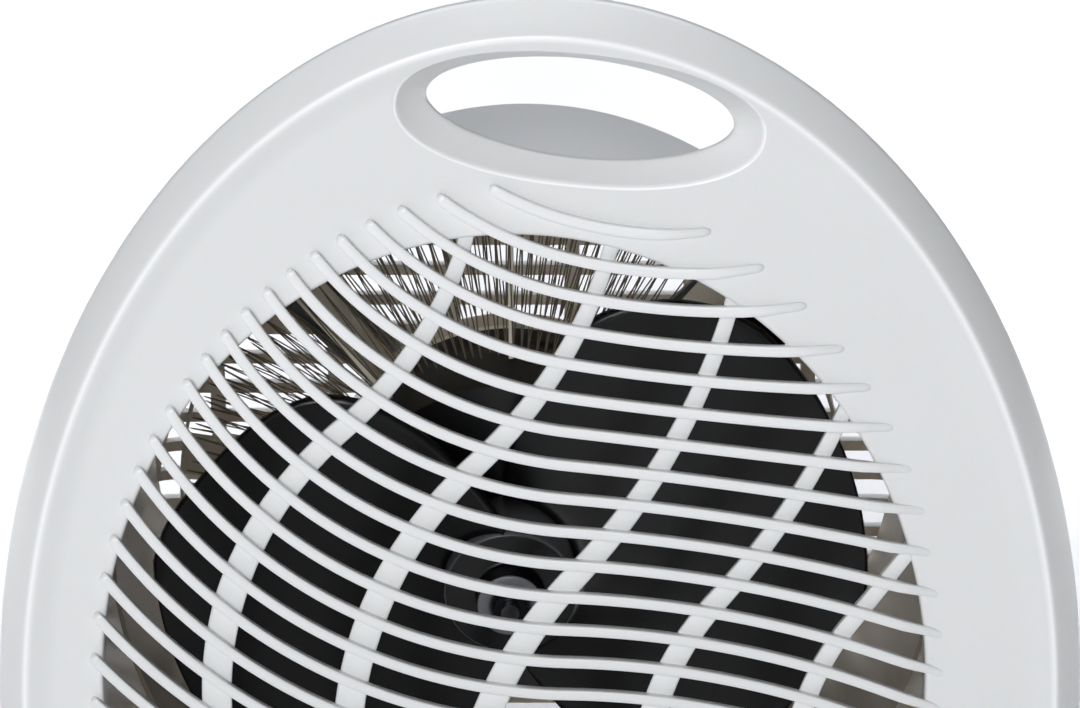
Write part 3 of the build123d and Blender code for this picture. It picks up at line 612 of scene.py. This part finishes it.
# Pale, matt and slightly rough from the mould.
CAST_ALUMINIUM = Finish("cast aluminium", "#B9BABB", "#9C9D9E", Grain.MOULDED, 1.0, 0.45, 0.1, 0.03, 0.95)
# Glossy red-brown turns, side by side.
COPPER = Finish("enamelled copper winding", "#A2522A", "#6E3217", Grain.WOUND, 0.5, 0.3, 0.06, 0.08, 0.8)
# Dull gold-brown with fine open pores.
BRONZE = Finish("oil-filled sintered bronze", "#8F6E43", "#6F5330", Grain.MOULDED, 0.3, 0.5, 0.1, 0.02,
                0.8)
# Yellow, with the fine lines of a cutting tool.
BRASS = Finish("turned brass", "#C9A35A", "#A98440", Grain.BRUSHED, 0.4, 0.28, 0.06, 0.01, 1.0)
# Dead matt black.
RUBBER = Finish("moulded nitrile rubber", "#1B1B1C", "#262627", Grain.MOULDED, 0.7, 0.72, 0.08, 0.03)
# Milky cream that lets a little light in at its edges.
NYLON = Finish("natural nylon", "#DAD6C8", "#CBC6B5", Grain.MOULDED, 0.8, 0.42,
               extras={"Subsurface Weight": 0.15, "Subsurface Scale": 0.002})
# Cream, satin and opaque.
SWITCH_PBT = Finish("cream switch moulding", "#D5CFBD", "#C8C1AC", Grain.MOULDED, 0.6, 0.38, 0.06, 0.01)
# Silvery with a warm cast from the brass below.
TINNED = Finish("tinned brass case", "#C6C3BB", "#A8A59C", Grain.BRUSHED, 0.4, 0.3, metallic=0.95)
# Dusty, matt off-white.
SILICONE = Finish("silicone lead cover", "#C9C4BB", "#B7B1A6", Grain.MOULDED, 0.8, 0.55, 0.08, 0.02)
# A cooler white than the casing's, with an even satin shine.
KNOB_ABS = Finish("satin white knob moulding", "#E2E3E5", "#DADBDC", Grain.MOULDED, 0.6, 0.3, 0.04, 0.006)
# Clear orange that glows where light passes through.
AMBER = Finish("clear amber polycarbonate", "#F08A1E", "#E87A12", Grain.MOULDED, 1.0, 0.12, 0.04, 0.004,
               extras={"IOR": 1.58, "Transmission Weight": 0.75})
# Clear with a faint warm tint from the gas behind it.
LAMP_GLASS = Finish("neon lamp glass", "#F2D9B8", "#E8C9A2", Grain.MOULDED, 1.0, 0.08, 0.04, 0.002,
                    extras={"Transmission Weight": 0.6})
# Even pale paper that takes a soft shadow.
PALE_FLOOR = Finish("pale studio floor", "#E9E9EA", "#E6E6E7", Grain.MOULDED, 4.0, 0.7, 0.05, 0.01)

SLOT_FINISHES = {
    "casing_white": WHITE_PP, "foot_white": FOOT_PP, "rubber": RUBBER, "zinc_steel": ZINC,
    "aluminised_sheet": ALUMINISED, "fan_black": BLACK_STYRENE, "spring_steel": BLUED_STEEL,
    "ground_steel": GROUND_STEEL, "lamination_steel": LAMINATIONS, "cast_aluminium": CAST_ALUMINIUM,
    "enamelled_copper": COPPER, "galvanised_sheet": GALVANISED, "black_enamel": BLACK_ENAMEL,
    "sintered_bronze": BRONZE, "mica": MICA,
    "resistance_wire": NICHROME, "bakelite": PHENOLIC, "black_steel": BLACKED_STEEL, "tin_case": TINNED,
    "shaft_plastic": NYLON, "knob_plastic": KNOB_ABS, "switch_plastic": SWITCH_PBT, "lens_amber": AMBER,
    "lamp_glass": LAMP_GLASS, "terminal_plastic": NYLON, "brass_screw": BRASS, "grommet_rubber": RUBBER,
    "lead_silicone": SILICONE,
}


@dataclass
class Finishes:
    """Makes each material once and hands it out."""

    made: dict[str, Material] = field(default_factory=dict)

    def get(self, finish: Finish) -> Material:
        """Finds or makes a material.

        Args:
            finish: Its finish.

        Returns:
            The material.
        """
        if finish.name not in self.made:
            self.made[finish.name] = finish.make()
        return self.made[finish.name]

    def rear_white(self) -> Material:
        """Makes the rear moulding white, with a painted warm shade on the faces that look into the duct.

        Returns:
            The material.
        """
        material = WHITE_PP.make()
        material.name = "white polypropylene with painted warm shade inside"
        tree = material.node_tree
        shader = tree.nodes["Principled BSDF"]
        low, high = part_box("rear_shell")
        duct_drop = 0.03
        normal = add(tree, "TexCoord").outputs["Normal"]
        place = tree.nodes["Texture Coordinate"].outputs["Object"]
        axis = Vector(((low.x + high.x) / 2, 0.0, (low.z + high.z) / 2 - duct_drop))
        outward = add(tree, "VectorMath", {0: place}, {1: axis}, operation="SUBTRACT").outputs["Vector"]
        outward = add(tree, "VectorMath", {0: outward}, operation="NORMALIZE").outputs["Vector"]
        away = add(tree, "VectorMath", {0: outward, 1: normal}, operation="DOT_PRODUCT").outputs["Value"]
        # Painted warm shade: faces turned towards the duct's axis get a beige tint.
        inside = add(tree, "MapRange", {"Value": away},
                     {"From Min": -0.05, "From Max": -0.25}).outputs["Result"]
        base = shader.inputs["Base Color"]
        tone = add(tree, "Mix", {"Factor": inside, "A": base.links[0].from_socket},
                   {"B": linear("#F0E8D8")}, data_type="RGBA")
        tree.links.new(tone.outputs["Result"], base)
        return material

    def dress_frame(self, frame: dict[str, object]) -> None:
        """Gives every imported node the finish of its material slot.
        """
        slots = {part["node"]: part["material_slot"] for part in frame["record"]["subparts"]}
        for name, node in frame["nodes"].items():
            node.data.materials.clear()
            node.data.materials.append(
                self.rear_white() if name == "rear_shell" else self.get(SLOT_FINISHES[slots[name]]))


# ---- casing
@dataclass
class FrontCasing:
    """The front moulding: rolled rim, dished face, air opening and handle funnel."""

    piece: Piece
    outline: Oval = Oval(0.0, 123.0, 118.0, 167.0, 167.0)
    opening: Oval = Oval(-5.6, 133.0, 89.0, 107.0, 75.0)
    mouth: Oval = Oval(8.2, 265.7, 37.7, 14.3, 14.3, -6.1, 2.2)
    throat: Oval = Oval(8.3, 265.3, 31.9, 10.8, 10.8, -6.8, 1.9)
    # The rim from its back edge over the crest to the face, as distance inside the outline and depth.
    rim: tuple[Point, ...] = (
        (7.5, 25.8), (5.6, 22.0), (3.4, 17.5), (1.6, 13.0), (0.5, 10.6), (0.12, 9.2), (0.0, 8.2),
        (0.1, 7.4), (0.5, 6.7), (1.3, 5.4), (2.3, 3.95), (3.3, 2.65), (4.3, 1.5), (5.1, 0.68),
        (5.5, 0.32), (5.9, 0.08), (6.3, 0.0), (6.8, 0.03), (7.5, 0.17), (8.6, 0.5), (9.9, 0.92),
        (11.2, 1.26), (12.3, 1.44), (13.2, 1.5))
    crest: float = 6.3
    face: float = 1.5
    wall: float = 2.2
    rim_steps: int = 960
    mouth_steps: int = 480
    opening_steps: int = 224
    # Left free between the rim's inner slope and the lip of the handle's mouth.
    rim_gap: float = 0.15
    foot_top: float = 12.0
    collar_back: float = 8.0
    # The lips, as growth of their oval and depth behind the surface or, in the throat, the crest.
    funnel: tuple[Point, ...] = ((0.7, 0.0), (0.42, 0.03), (0.2, 0.12), (0.03, 0.28), (-0.12, 0.55),
                                 (-0.35, 1.05))
    throat_lip: tuple[Point, ...] = ((0.9, 7.4), (0.35, 8.4), (0.0, 9.3))
    grip: Oval = Oval(8.2, 261.6, 34.4, 14.6, 14.6, -6.5)
    grip_back: float = 25.8
    opening_lip: tuple[Point, ...] = ((1.3, 0.0), (0.9, 0.0), (0.5, 0.1), (0.15, 0.45), (0.0, 0.95))
    # Painted highlights: half the width of the crest's line, the lip's line in and out, and the funnel's
    # share of painted light.
    crest_highlight: float = 0.9
    lip_highlight: Point = (-0.2, 0.05)
    funnel_light: float = 0.45

    def _depth(self, inset: float) -> float:
        """Finds the depth of the rim's inner slope or of the face, behind the crest."""
        return broken_line([corner for corner in self.rim[1:] if corner[0] > self.crest], inset)

    def _rim_ring(self, inset: float, y: float) -> list[Place]:
        """Makes a ring of the rim, pressed towards the crest where the handle's mouth cuts in.

        Args:
            inset: Distance inside the outline.
            y: Depth behind the crest.

        Returns:
            The ring's points.
        """
        full = self.outline.grown(-inset).ring(y, self.rim_steps)
        if inset <= self.crest or y > self.face:
            return full
        hold = self.mouth.grown(self.funnel[0][0] + self.rim_gap)
        slope = self.rim[-1][0] - self.crest
        crests, feet = (self.outline.grown(-by).ring(0.0, self.rim_steps)
                        for by in (self.crest, self.rim[-1][0]))

        def between(crest: Place, foot: Place, share: float) -> Point:
            """The front-view point at a share of the way down the slope."""
            return crest[0] + (foot[0] - crest[0]) * share, crest[2] + (foot[2] - crest[2]) * share

        places = []
        for crest, foot, here in zip(crests, feet, full):
            free = 1.0
            if hold.holds(foot[0], foot[2]):
                free = halve(lambda part: not hold.holds(*between(crest, foot, part)), 1.0,
                             RIM_HALVINGS)[1]
            reach = free * ((inset - self.crest) / slope)
            x, z = between(crest, foot, reach)
            places.append((x, self._depth(self.crest + reach * slope), z) if free < 1.0 else here)
        return places

    def _mouth_ring(self, grow: float, y: float) -> list[Place]:
        """Makes a ring of the funnel's lip, laid on the face or on the rim's inner slope.

        Args:
            grow: How much larger than the mouth the ring is.
            y: Depth behind that surface.

        Returns:
            The ring's points.
        """
        search = 2 * self.rim[-1][0]
        return [(x, self._depth(self.outline.depth_inside(x, z, search)) + y, z)
                for x, _, z in self.mouth.grown(grow).ring(y, self.mouth_steps)]

    def _skin(self) -> BMesh:
        """Draws the outer skin with its opening and handle.

        Returns:
            The open skin, cut off at the foot.
        """
        bm = bmesh.new()
        rim = Loft(bm, [self._rim_ring(inset, y) for inset, y in self.rim])
        lip = [self.opening.grown(by).ring(self.face + y, self.opening_steps)
               for by, y in self.opening_lip]
        lip.append(self.opening.ring(self.collar_back, self.opening_steps))
        edge = Loft(bm, lip)
        tunnel = [self._mouth_ring(by, y) for by, y in self.funnel]
        tunnel += [self.throat.grown(by).ring(y, self.mouth_steps) for by, y in self.throat_lip]
        tunnel.append(self.grip.ring(self.grip_back, self.mouth_steps))
        grip = Loft(bm, tunnel)
        outlines = rim.edges(rim.ring) + edge.edges(edge.first) + grip.edges(grip.first)
        bmesh.ops.triangle_fill(bm, use_beauty=True, edges=outlines, normal=(0, -1, 0))
        bmesh.ops.recalc_face_normals(bm, faces=bm.faces[:])
        flat = max(bm.faces, key=lambda one: one.calc_area())
        if flat.normal.y > 0:
            bmesh.ops.reverse_faces(bm, faces=bm.faces[:])
        everything = bm.verts[:] + bm.edges[:] + bm.faces[:]
        bmesh.ops.bisect_plane(bm, geom=everything, plane_co=(0, 0, self.foot_top), plane_no=(0, 0, 1),
                               clear_inner=True)
        return bm

    def build(self) -> None:
        """Makes the moulding."""
        self.piece.finish(self._skin(), "front_casing", WHITE_PP, HOUSING, ["front_shell"],
                          "casing_white", sheet=self.wall, sharp=50.0, painted_highlight=self._painted_highlight)

    def _painted_highlight(self, place: Vector) -> float:
        """Paints highlights on the rim's crest and the handle's lip, and painted light inside the funnel.

        Args:
            place: A point of the skin.

        Returns:
            Its painted highlight, 0 to 1.
        """
        crest_back, lip_back, funnel_front, funnel_back, off_rim, search = 1.0, 3.0, 0.3, 9.0, 10.0, 12.0
        inset = self.outline.depth_inside(place.x, place.z, search)
        near = 1.0 - min(1.0, abs(inset - self.crest) / self.crest_highlight)
        crest = near if place.y < crest_back else 0.0
        inside = self.mouth.grown(self.funnel[1][0] + self.lip_highlight[1]).holds(place.x, place.z)
        on_lip = inside and not self.mouth.grown(self.lip_highlight[0]).holds(place.x, place.z)
        funnel = self.funnel_light if funnel_front < place.y < funnel_back and inside else 0.0
        return max(crest, funnel, 1.0 if on_lip and place.y < lip_back and inset > off_rim else 0.0)


@dataclass
class Grille:
    """The swept slats across the air opening and the curved ribs behind their ridges."""

    piece: Piece
    opening: Oval = FrontCasing.opening
    left: Oval = Oval(-5.6, 133.0, 91.5, 118.5, 82.0, 0.0, 1.9)
    right: Oval = Oval(-5.6, 133.0, 94.5, 120.0, 82.0)
    rows: int = 24
    join_x: float = 6.0
    top_z: float = 243.0
    pitch: float = 7.84
    top_slope: float = 16.3
    top_rows: int = 3
    top_lift: float = 1.1
    top_bend: float = 0.0035
    top_curl: float = 2.5
    level_row: float = 18.5
    # One over the radius: at the top row and its change a row, or its peak, its change and that row.
    bend_left: Point = (0.01437, -0.00036)
    bend_right: Place = (-0.0063, 0.000053, 16.9)
    half_width: float = 1.2
    ridge: float = -0.6
    nose: float = 0.6
    slat_back: float = 2.1
    back: float = 4.6
    face: float = FrontCasing.face
    fade: float = 13.0
    rib_front: float = 1.9
    rib_width: float = 3.1
    rib_widening: float = 0.034
    rib_widest: float = 6.5
    rib_joins: tuple[Point, ...] = ((-41.6, 195.5), (-13.6, 187.0), (7.9, 161.0), (37.9, 154.5),
                                    (67.4, 150.0))
    rib_leans: tuple[float, ...] = (47.5, 44.5, 40.0, 39.0, 36.0)
    rib_radii_below: tuple[float, ...] = (88.0, 99.0, 111.0, 67.0, 65.0)
    rib_radii_above: tuple[float, ...] = (90.0, 111.0, 156.0, 170.0, 400.0)
    step: float = 3.0
    squareness: float = 0.6
    section_turns: tuple[int, ...] = (0, 12, 28, 48, 90, 132, 152, 168, 180)
    slat_taper: float = 0.55
    rib_taper: float = 0.82
    rib_nose: float = 0.7
    # Where the rounded left end and the tip get a section; the tip's length is in half-widths.
    end_turns: tuple[int, ...] = (15, 35, 55, 75, 90)
    tip_shares: tuple[float, ...] = (0.3, 0.55, 0.75, 0.9, 1.0)
    tip_length: float = 1.5

    def _slat_track(self, row: int) -> Track:
        """Finds the line that a slat follows.

        Args:
            row: Which slat, from 0 at the top.

        Returns:
            Its track.
        """
        early = max(0.0, 1 - row / self.top_rows)
        left = self.bend_left[0] + self.bend_left[1] * row
        right = self.bend_right[0] + self.bend_right[1] * (row - self.bend_right[2]) ** 2
        return Track(self.join_x, self.top_z - self.pitch * row + self.top_lift * early ** self.top_curl,
                     -self.top_slope * (1 - row / self.level_row) ** 2, left,
                     right + self.top_bend * early)

    def _section(self, place: Place, half: float, front: float, back: float, nose: float,
                 narrow: float) -> list[Place]:
        """Finds a slat's or rib's section at one place on its track.

        Args:
            place: x, z and heading.
            half: Half-width across the track.
            front: Depth of the ridge.
            back: Depth of the flat back.
            nose: Depth over which the front is rounded.
            narrow: Width of the back as a share of the front's.

        Returns:
            The section's ring.
        """
        x, z, heading = place
        outline = [(signed_power(math.cos(math.radians(turn)), self.squareness),
                    1 - math.sin(math.radians(turn)) ** self.squareness) for turn in self.section_turns]
        profile = [(side * half, front + share * nose) for side, share in outline]
        profile += [(-narrow * half, back), (0.0, back), (narrow * half, back)]
        return [(x - side * math.sin(heading), y, z + side * math.cos(heading)) for side, y in profile]

    def _slat(self, bm: BMesh, row: int) -> None:
        """Draws one slat: blunt at its left end and fading into the face at its right end.

        Args:
            bm: The mesh to draw in.
            row: Which slat, from 0 at the top.
        """
        track = self._slat_track(row)
        if not (self.left.holds(track.x, track.z) and self.right.holds(track.x, track.z)):
            return
        # The top rows stay proud of the face at their right ends, and all thin out by a fifth there.
        proud_rows, proud, under, tip_sink, thinning, least, fewest = 8, 0.75, 0.1, 0.2, 0.2, 0.02, 8
        start, end = track.reach(self.left, -1), track.reach(self.right, 1)
        round_end, tip_length = self.half_width, self.tip_length * self.half_width
        lengths = [start + round_end * (1 - math.cos(math.radians(turn))) for turn in self.end_turns]
        steps = max(fewest, int((end - start) / self.step))
        blunt = end - tip_length
        lengths += [start + round_end + (blunt - start - round_end) * step / steps
                    for step in range(1, steps + 1)]
        lengths += [blunt + tip_length * share for share in self.tip_shares]
        rings = []
        for s in lengths:
            inside = min(1.0, (s - start) / round_end)
            swell = math.sqrt(max(least, 1 - (1 - inside) ** 2))
            sink = blend(end - self.fade, end, s)
            tip = math.sqrt(max(least, 1 - max(0.0, 1 - (end - s) / tip_length) ** 2))
            half = self.half_width * swell * (1 - thinning * sink) * tip
            low = self.face - proud * (1 - row / proud_rows) if row < proud_rows else self.face + under
            front = self.ridge + self.half_width * (1 - swell) + (low - self.ridge) * sink
            front += (self.face + tip_sink - front) * (1 - tip)
            rings.append(self._section(track.at(s), half, front, self.slat_back, self.nose,
                                       self.slat_taper))
        Loft(bm, rings).close()

    def _rib(self, bm: BMesh, place: int) -> None:
        """Draws one flat rib, which leans to the right, turns upright lower down and widens on the way.

        Args:
            bm: The mesh to draw in.
            place: Which rib, from 0 at the left.
        """
        lean, (x, z) = self.rib_leans[place], self.rib_joins[place]
        below = self.rib_radii_below[place]
        track = Track(x, z, 90 - lean, -1 / below, 1 / self.rib_radii_above[place],
                      math.radians(lean) * below)
        sunk = 1.0
        hold = self.opening.grown(sunk)
        start, end = track.reach(hold, -1), track.reach(hold, 1)
        steps = int((end - start) / self.step)
        rings = []
        for step in range(steps + 1):
            s = start + (end - start) * step / steps
            half = min(self.rib_widest, self.rib_width + self.rib_widening * (end - s)) / 2
            rings.append(self._section(track.at(s), half, self.rib_front, self.back, self.rib_nose,
                                       self.rib_taper))
        Loft(bm, rings).close()

    @staticmethod
    def _painted_highlight(place: Vector) -> float:
        """Paints a highlight on the slats' fronts, strongest on the upper slats."""
        most, (back, ridge), (low, high) = 0.4, (1.0, -0.5), (120.0, 230.0)
        return most * blend(back, ridge, place.y) * blend(low, high, place.z)

    def build(self) -> None:
        """Makes the slats and the ribs."""
        for name, count, draw, painted_highlight in (("grille_slats", self.rows, self._slat, self._painted_highlight),
                                          ("grille_ribs", len(self.rib_joins), self._rib, None)):
            bm = bmesh.new()
            for place in range(count):
                draw(bm, place)
            self.piece.finish(bm, name, WHITE_PP, HOUSING, ["front_shell"], "casing_white", sharp=60.0,
                              painted_highlight=painted_highlight)


# ---- fan
@dataclass
class Fan:
    """The moulded two-blade fan on its boss."""

    piece: Piece
    radius: float = 79.0
    front: float = 25.0
    depth: float = 20.0
    thickness: float = 1.8
    hub_radius: float = 14.7
    boss_radius: float = 7.4
    boss_front: float = 19.0
    bore: float = 2.05
    # The blade's two edges in the front view, as radius and degrees clockwise from up.
    leading: tuple[Point, ...] = (
        (13.0, -8.0), (26.0, -2.0), (40.0, 5.0), (54.0, 12.0), (62.0, 17.0), (67.0, 22.0), (73.0, 29.0),
        (77.0, 36.0), (79.0, 44.0))
    trailing: tuple[Point, ...] = (
        (13.0, 176.0), (26.0, 163.0), (40.0, 154.0), (54.0, 145.0), (60.0, 140.0), (64.5, 133.0),
        (67.5, 125.0), (71.0, 113.0), (74.0, 106.0), (77.0, 100.0), (79.0, 92.0))
    camber: float = 1.6
    rows: int = 26
    columns: int = 48
    # Rows lie closer together towards the tip, where the edges bend most.
    crowding: float = 1.5
    hub_wall: float = 2.0
    boss_wall: float = 3.2
    corner: float = 0.9
    hub_steps: int = 72

    def _blade(self, bm: BMesh, turn: float) -> None:
        """Draws one blade as a skin from its root to its tip.

        Args:
            bm: The mesh to draw in.
            turn: Degrees clockwise from up.
        """
        root = self.leading[0][0]
        radii = [root + (self.radius - root) * (1 - (1 - step / self.rows) ** self.crowding)
                 for step in range(self.rows + 1)]
        back = self.front + self.depth - self.thickness
        drop = self.depth - self.thickness
        first_angle = self.leading[0][1]
        width = self.trailing[0][1] - first_angle

        def row(radius: float) -> list[Place]:
            """Finds the points across the blade.

            Args:
                radius: Distance from the fan's axis.

            Returns:
                The points from the leading to the trailing edge.
            """
            first, last = (broken_line(edge, radius) for edge in (self.leading, self.trailing))
            places = []
            for step in range(self.columns + 1):
                angle = first + (last - first) * step / self.columns
                camber = self.camber * math.sin(math.pi * step / self.columns) * (radius / self.radius)
                y = back - drop * (angle - first_angle) / width + camber
                places.append(self.piece.datum.round_fan(angle + turn, radius, y))
            return places

        Loft(bm, [row(radius) for radius in radii], closed=False)

    def _painted_rings(self, place: Vector) -> float:
        """Paints grey highlights on the boss's front ring and the hub's front edge.

        Args:
            place: A point of the hub.

        Returns:
            Its painted highlight, 0 to 1.
        """
        boss_highlight, boss_depth, (inner, outer) = 0.8, 0.5, (3.3, 2.0)
        edge_highlight, edge_depth, (far, near) = 0.7, 1.0, (0.5, 0.1)
        radius = math.hypot(place.x - self.piece.datum.fan[0], place.z - self.piece.datum.fan[1])
        if place.y < self.boss_front + boss_depth:
            return boss_highlight * blend(self.boss_radius - inner, self.boss_radius - outer, radius)
        edge = edge_highlight * blend(far, near, abs(radius - self.hub_radius))
        return edge if place.y < self.front + edge_depth else 0.0

    def build(self) -> None:
        """Makes the blades and the hub."""
        blades = bmesh.new()
        for turn in (0.0, 180.0):
            self._blade(blades, turn)
        bmesh.ops.recalc_face_normals(blades, faces=blades.faces[:])
        front = blades.faces[0]
        if front.normal.y > 0:
            bmesh.ops.reverse_faces(blades, faces=blades.faces[:])
        self.piece.finish(blades, "fan_blades", BLACK_STYRENE, "fan", ["fan_rotor"], "fan_black",
                          sheet=self.thickness)
        hub = bmesh.new()
        back = self.front + self.depth
        wall, bevel, back_bevel = self.hub_wall, 0.3, 0.4
        profile = [(self.bore, back - back_bevel), (self.bore, self.boss_front + bevel),
                   (self.boss_radius - self.boss_wall, self.boss_front),
                   (self.boss_radius, self.boss_front), (self.boss_radius, self.front),
                   (self.hub_radius, self.front), (self.hub_radius, back), (self.hub_radius - wall, back),
                   (self.hub_radius - wall, self.front + wall), (self.boss_radius, self.front + wall),
                   (self.boss_radius, back), (self.bore, back)]
        lathe(hub, rounded(profile, self.corner), self.piece.datum.fan, self.hub_steps)
        self.piece.finish(hub, "fan_hub", BLACK_STYRENE, "fan", ["fan_rotor"], "fan_black",
                          painted_highlight=self._painted_rings)


# ---- heating element
@dataclass
class HeatingElement:
    """The zigzag wires on their mica cards."""

    piece: Piece
    inner: float = 43.5
    outer: float = 75.0
    start: float = -175.0
    end: float = 33.0
    legs: int = 180
    radius: float = 0.17
    bend: float = 0.6
    layers: tuple[float, ...] = (57.6, 80.4)
    # How unevenly a leg was wound: as a share of a leg's angle, in reach and in depth.
    uneven: Place = (0.3, 0.9, 0.5)
    seed: int = 7

    def _wire(self, bm: BMesh, depth: float, chance: random.Random) -> None:
        """Draws one layer of wire as a thin zigzag, square to each of its legs.

        Args:
            bm: The mesh to draw in.
            depth: The layer's depth.
            chance: The source of its unevenness.
        """
        turn, length, lift = self.uneven
        places = []
        for leg in range(self.legs):
            angle = self.start + (self.end - self.start) * (leg + chance.uniform(-turn, turn)) / self.legs
            reach = self.outer if leg % 2 else self.inner
            reach += chance.uniform(-length, length)
            y = depth + chance.uniform(-lift, lift)
            places.append(Vector(self.piece.datum.round_fan(angle, reach, y)))
        rings = []
        for start, end in zip(places, places[1:]):
            run = (end - start).normalized()
            across = Vector((end.z - self.piece.datum.fan[1], 0, self.piece.datum.fan[0] - end.x))
            for place, way in ((start + run * self.bend, run), (end - run * self.bend, run), (end, across)):
                side = way.cross(Vector((0, 1, 0))).normalized() * self.radius
                rise = Vector((0, self.radius, 0))
                rings.append([tuple(place + off) for off in (side, rise, -side, -rise)])
        Loft(bm, rings).close()

    def build(self) -> None:
        """Makes the wires."""
        bm = bmesh.new()
        chance = random.Random(self.seed)
        for depth in self.layers:
            self._wire(bm, depth, chance)
        self.piece.finish(bm, "heating_wires", NICHROME, HOUSING,
                          ["heating_wire_front", "heating_wire_rear"], "resistance_wire")


# ---- studio
@dataclass
class Studio:
    """The pale floor, the soft lights and the camera."""

    datum: Datum
    finishes: Finishes
    lens: float = 143.7
    distance: float = 900.0
    elevation: float = 24.0
    target: float = 214.0
    floor_size: float = 6.0
    ambient: float = 0.015

    def _light(self, name: str, place: Place, aim: Place, size: Point, power: float,
               colour: str = "#FFFFFF", spread: float = 180.0) -> None:
        """Adds a soft rectangular light.

        Args:
            name: Its name.
            place: Where it hangs, in metres.
            aim: The point it faces.
            size: Its width and height in metres.
            power: Watts.
            colour: sRGB hex.
            spread: Degrees over which it shines.
        """
        lamp = bpy.data.lights.new(name, "AREA")
        lamp.spread = math.radians(spread)
        lamp.shape = "RECTANGLE"
        lamp.size, lamp.size_y = size
        lamp.energy = power
        lamp.color = linear(colour)[:3]
        light = placed(name, lamp)
        light.visible_camera = False
        light.location = place
        light.rotation_euler = (Vector(aim) - Vector(place)).to_track_quat("-Z", "Y").to_euler()

    def build(self) -> None:
        """Makes the floor, world, lights and camera."""
        bm = bmesh.new()
        bmesh.ops.create_grid(bm, x_segments=8, y_segments=8, size=self.floor_size)
        mesh = bpy.data.meshes.new("floor")
        bm.to_mesh(mesh)
        bm.free()
        floor = placed("floor", mesh)
        mesh.materials.append(self.finishes.get(PALE_FLOOR))
        world = bpy.data.worlds.new("studio")
        world.use_nodes = True
        background = world.node_tree.nodes["Background"]
        background.inputs["Color"].default_value = linear("#EEF2FA")
        background.inputs["Strength"].default_value = self.ambient
        bpy.context.scene.world = world
        middle = (0.0, 0.0, 0.18)
        self._light("key", (-0.36, -1.75, 0.95), middle, (1.0, 0.7), 28.0, "#FBFCFF")
        self._light("overhead", (0.0, 0.0, 1.6), (0.0, 0.001, 0.0), (0.8, 0.8), 2.4)
        self._light("rear_top", (0.0, 0.8, 1.4), (0.0, 0.801, 0.0), (1.4, 1.0), 15.0, "#F4F7FF")
        for across in (-0.75, 0.75):
            self._light("side_floor", (across, 0.75, 0.9), (across, 0.751, 0.0), (0.8, 1.0), 13.0,
                        spread=65.0)
        camera_data = bpy.data.cameras.new("camera")
        camera_data.lens = self.lens
        camera = placed("camera", camera_data)
        rise = math.radians(self.elevation)
        aim = Vector((0.0, self.datum.front * MM, self.target * MM))
        camera.location = aim + Vector((0, -math.cos(rise), math.sin(rise))) * self.distance * MM
        camera.rotation_euler = (math.radians(90) - rise, 0, 0)
        bpy.context.scene.camera = camera
        bpy.context.scene.view_settings.view_transform = "Standard"


def main() -> None:
    """Builds the heater round its frame and sets up the studio."""
    logging.basicConfig(level=logging.INFO, format="%(name)s: %(message)s")
    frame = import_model()
    datum = Datum.read(-Grille.ridge)
    finishes = Finishes()
    finishes.dress_frame(frame)
    piece = Piece(datum, finishes)
    for assembly in (FrontCasing(piece), Grille(piece), Fan(piece), HeatingElement(piece)):
        assembly.build()
    Studio(datum, finishes).build()


if __name__ == "__main__":
    main()
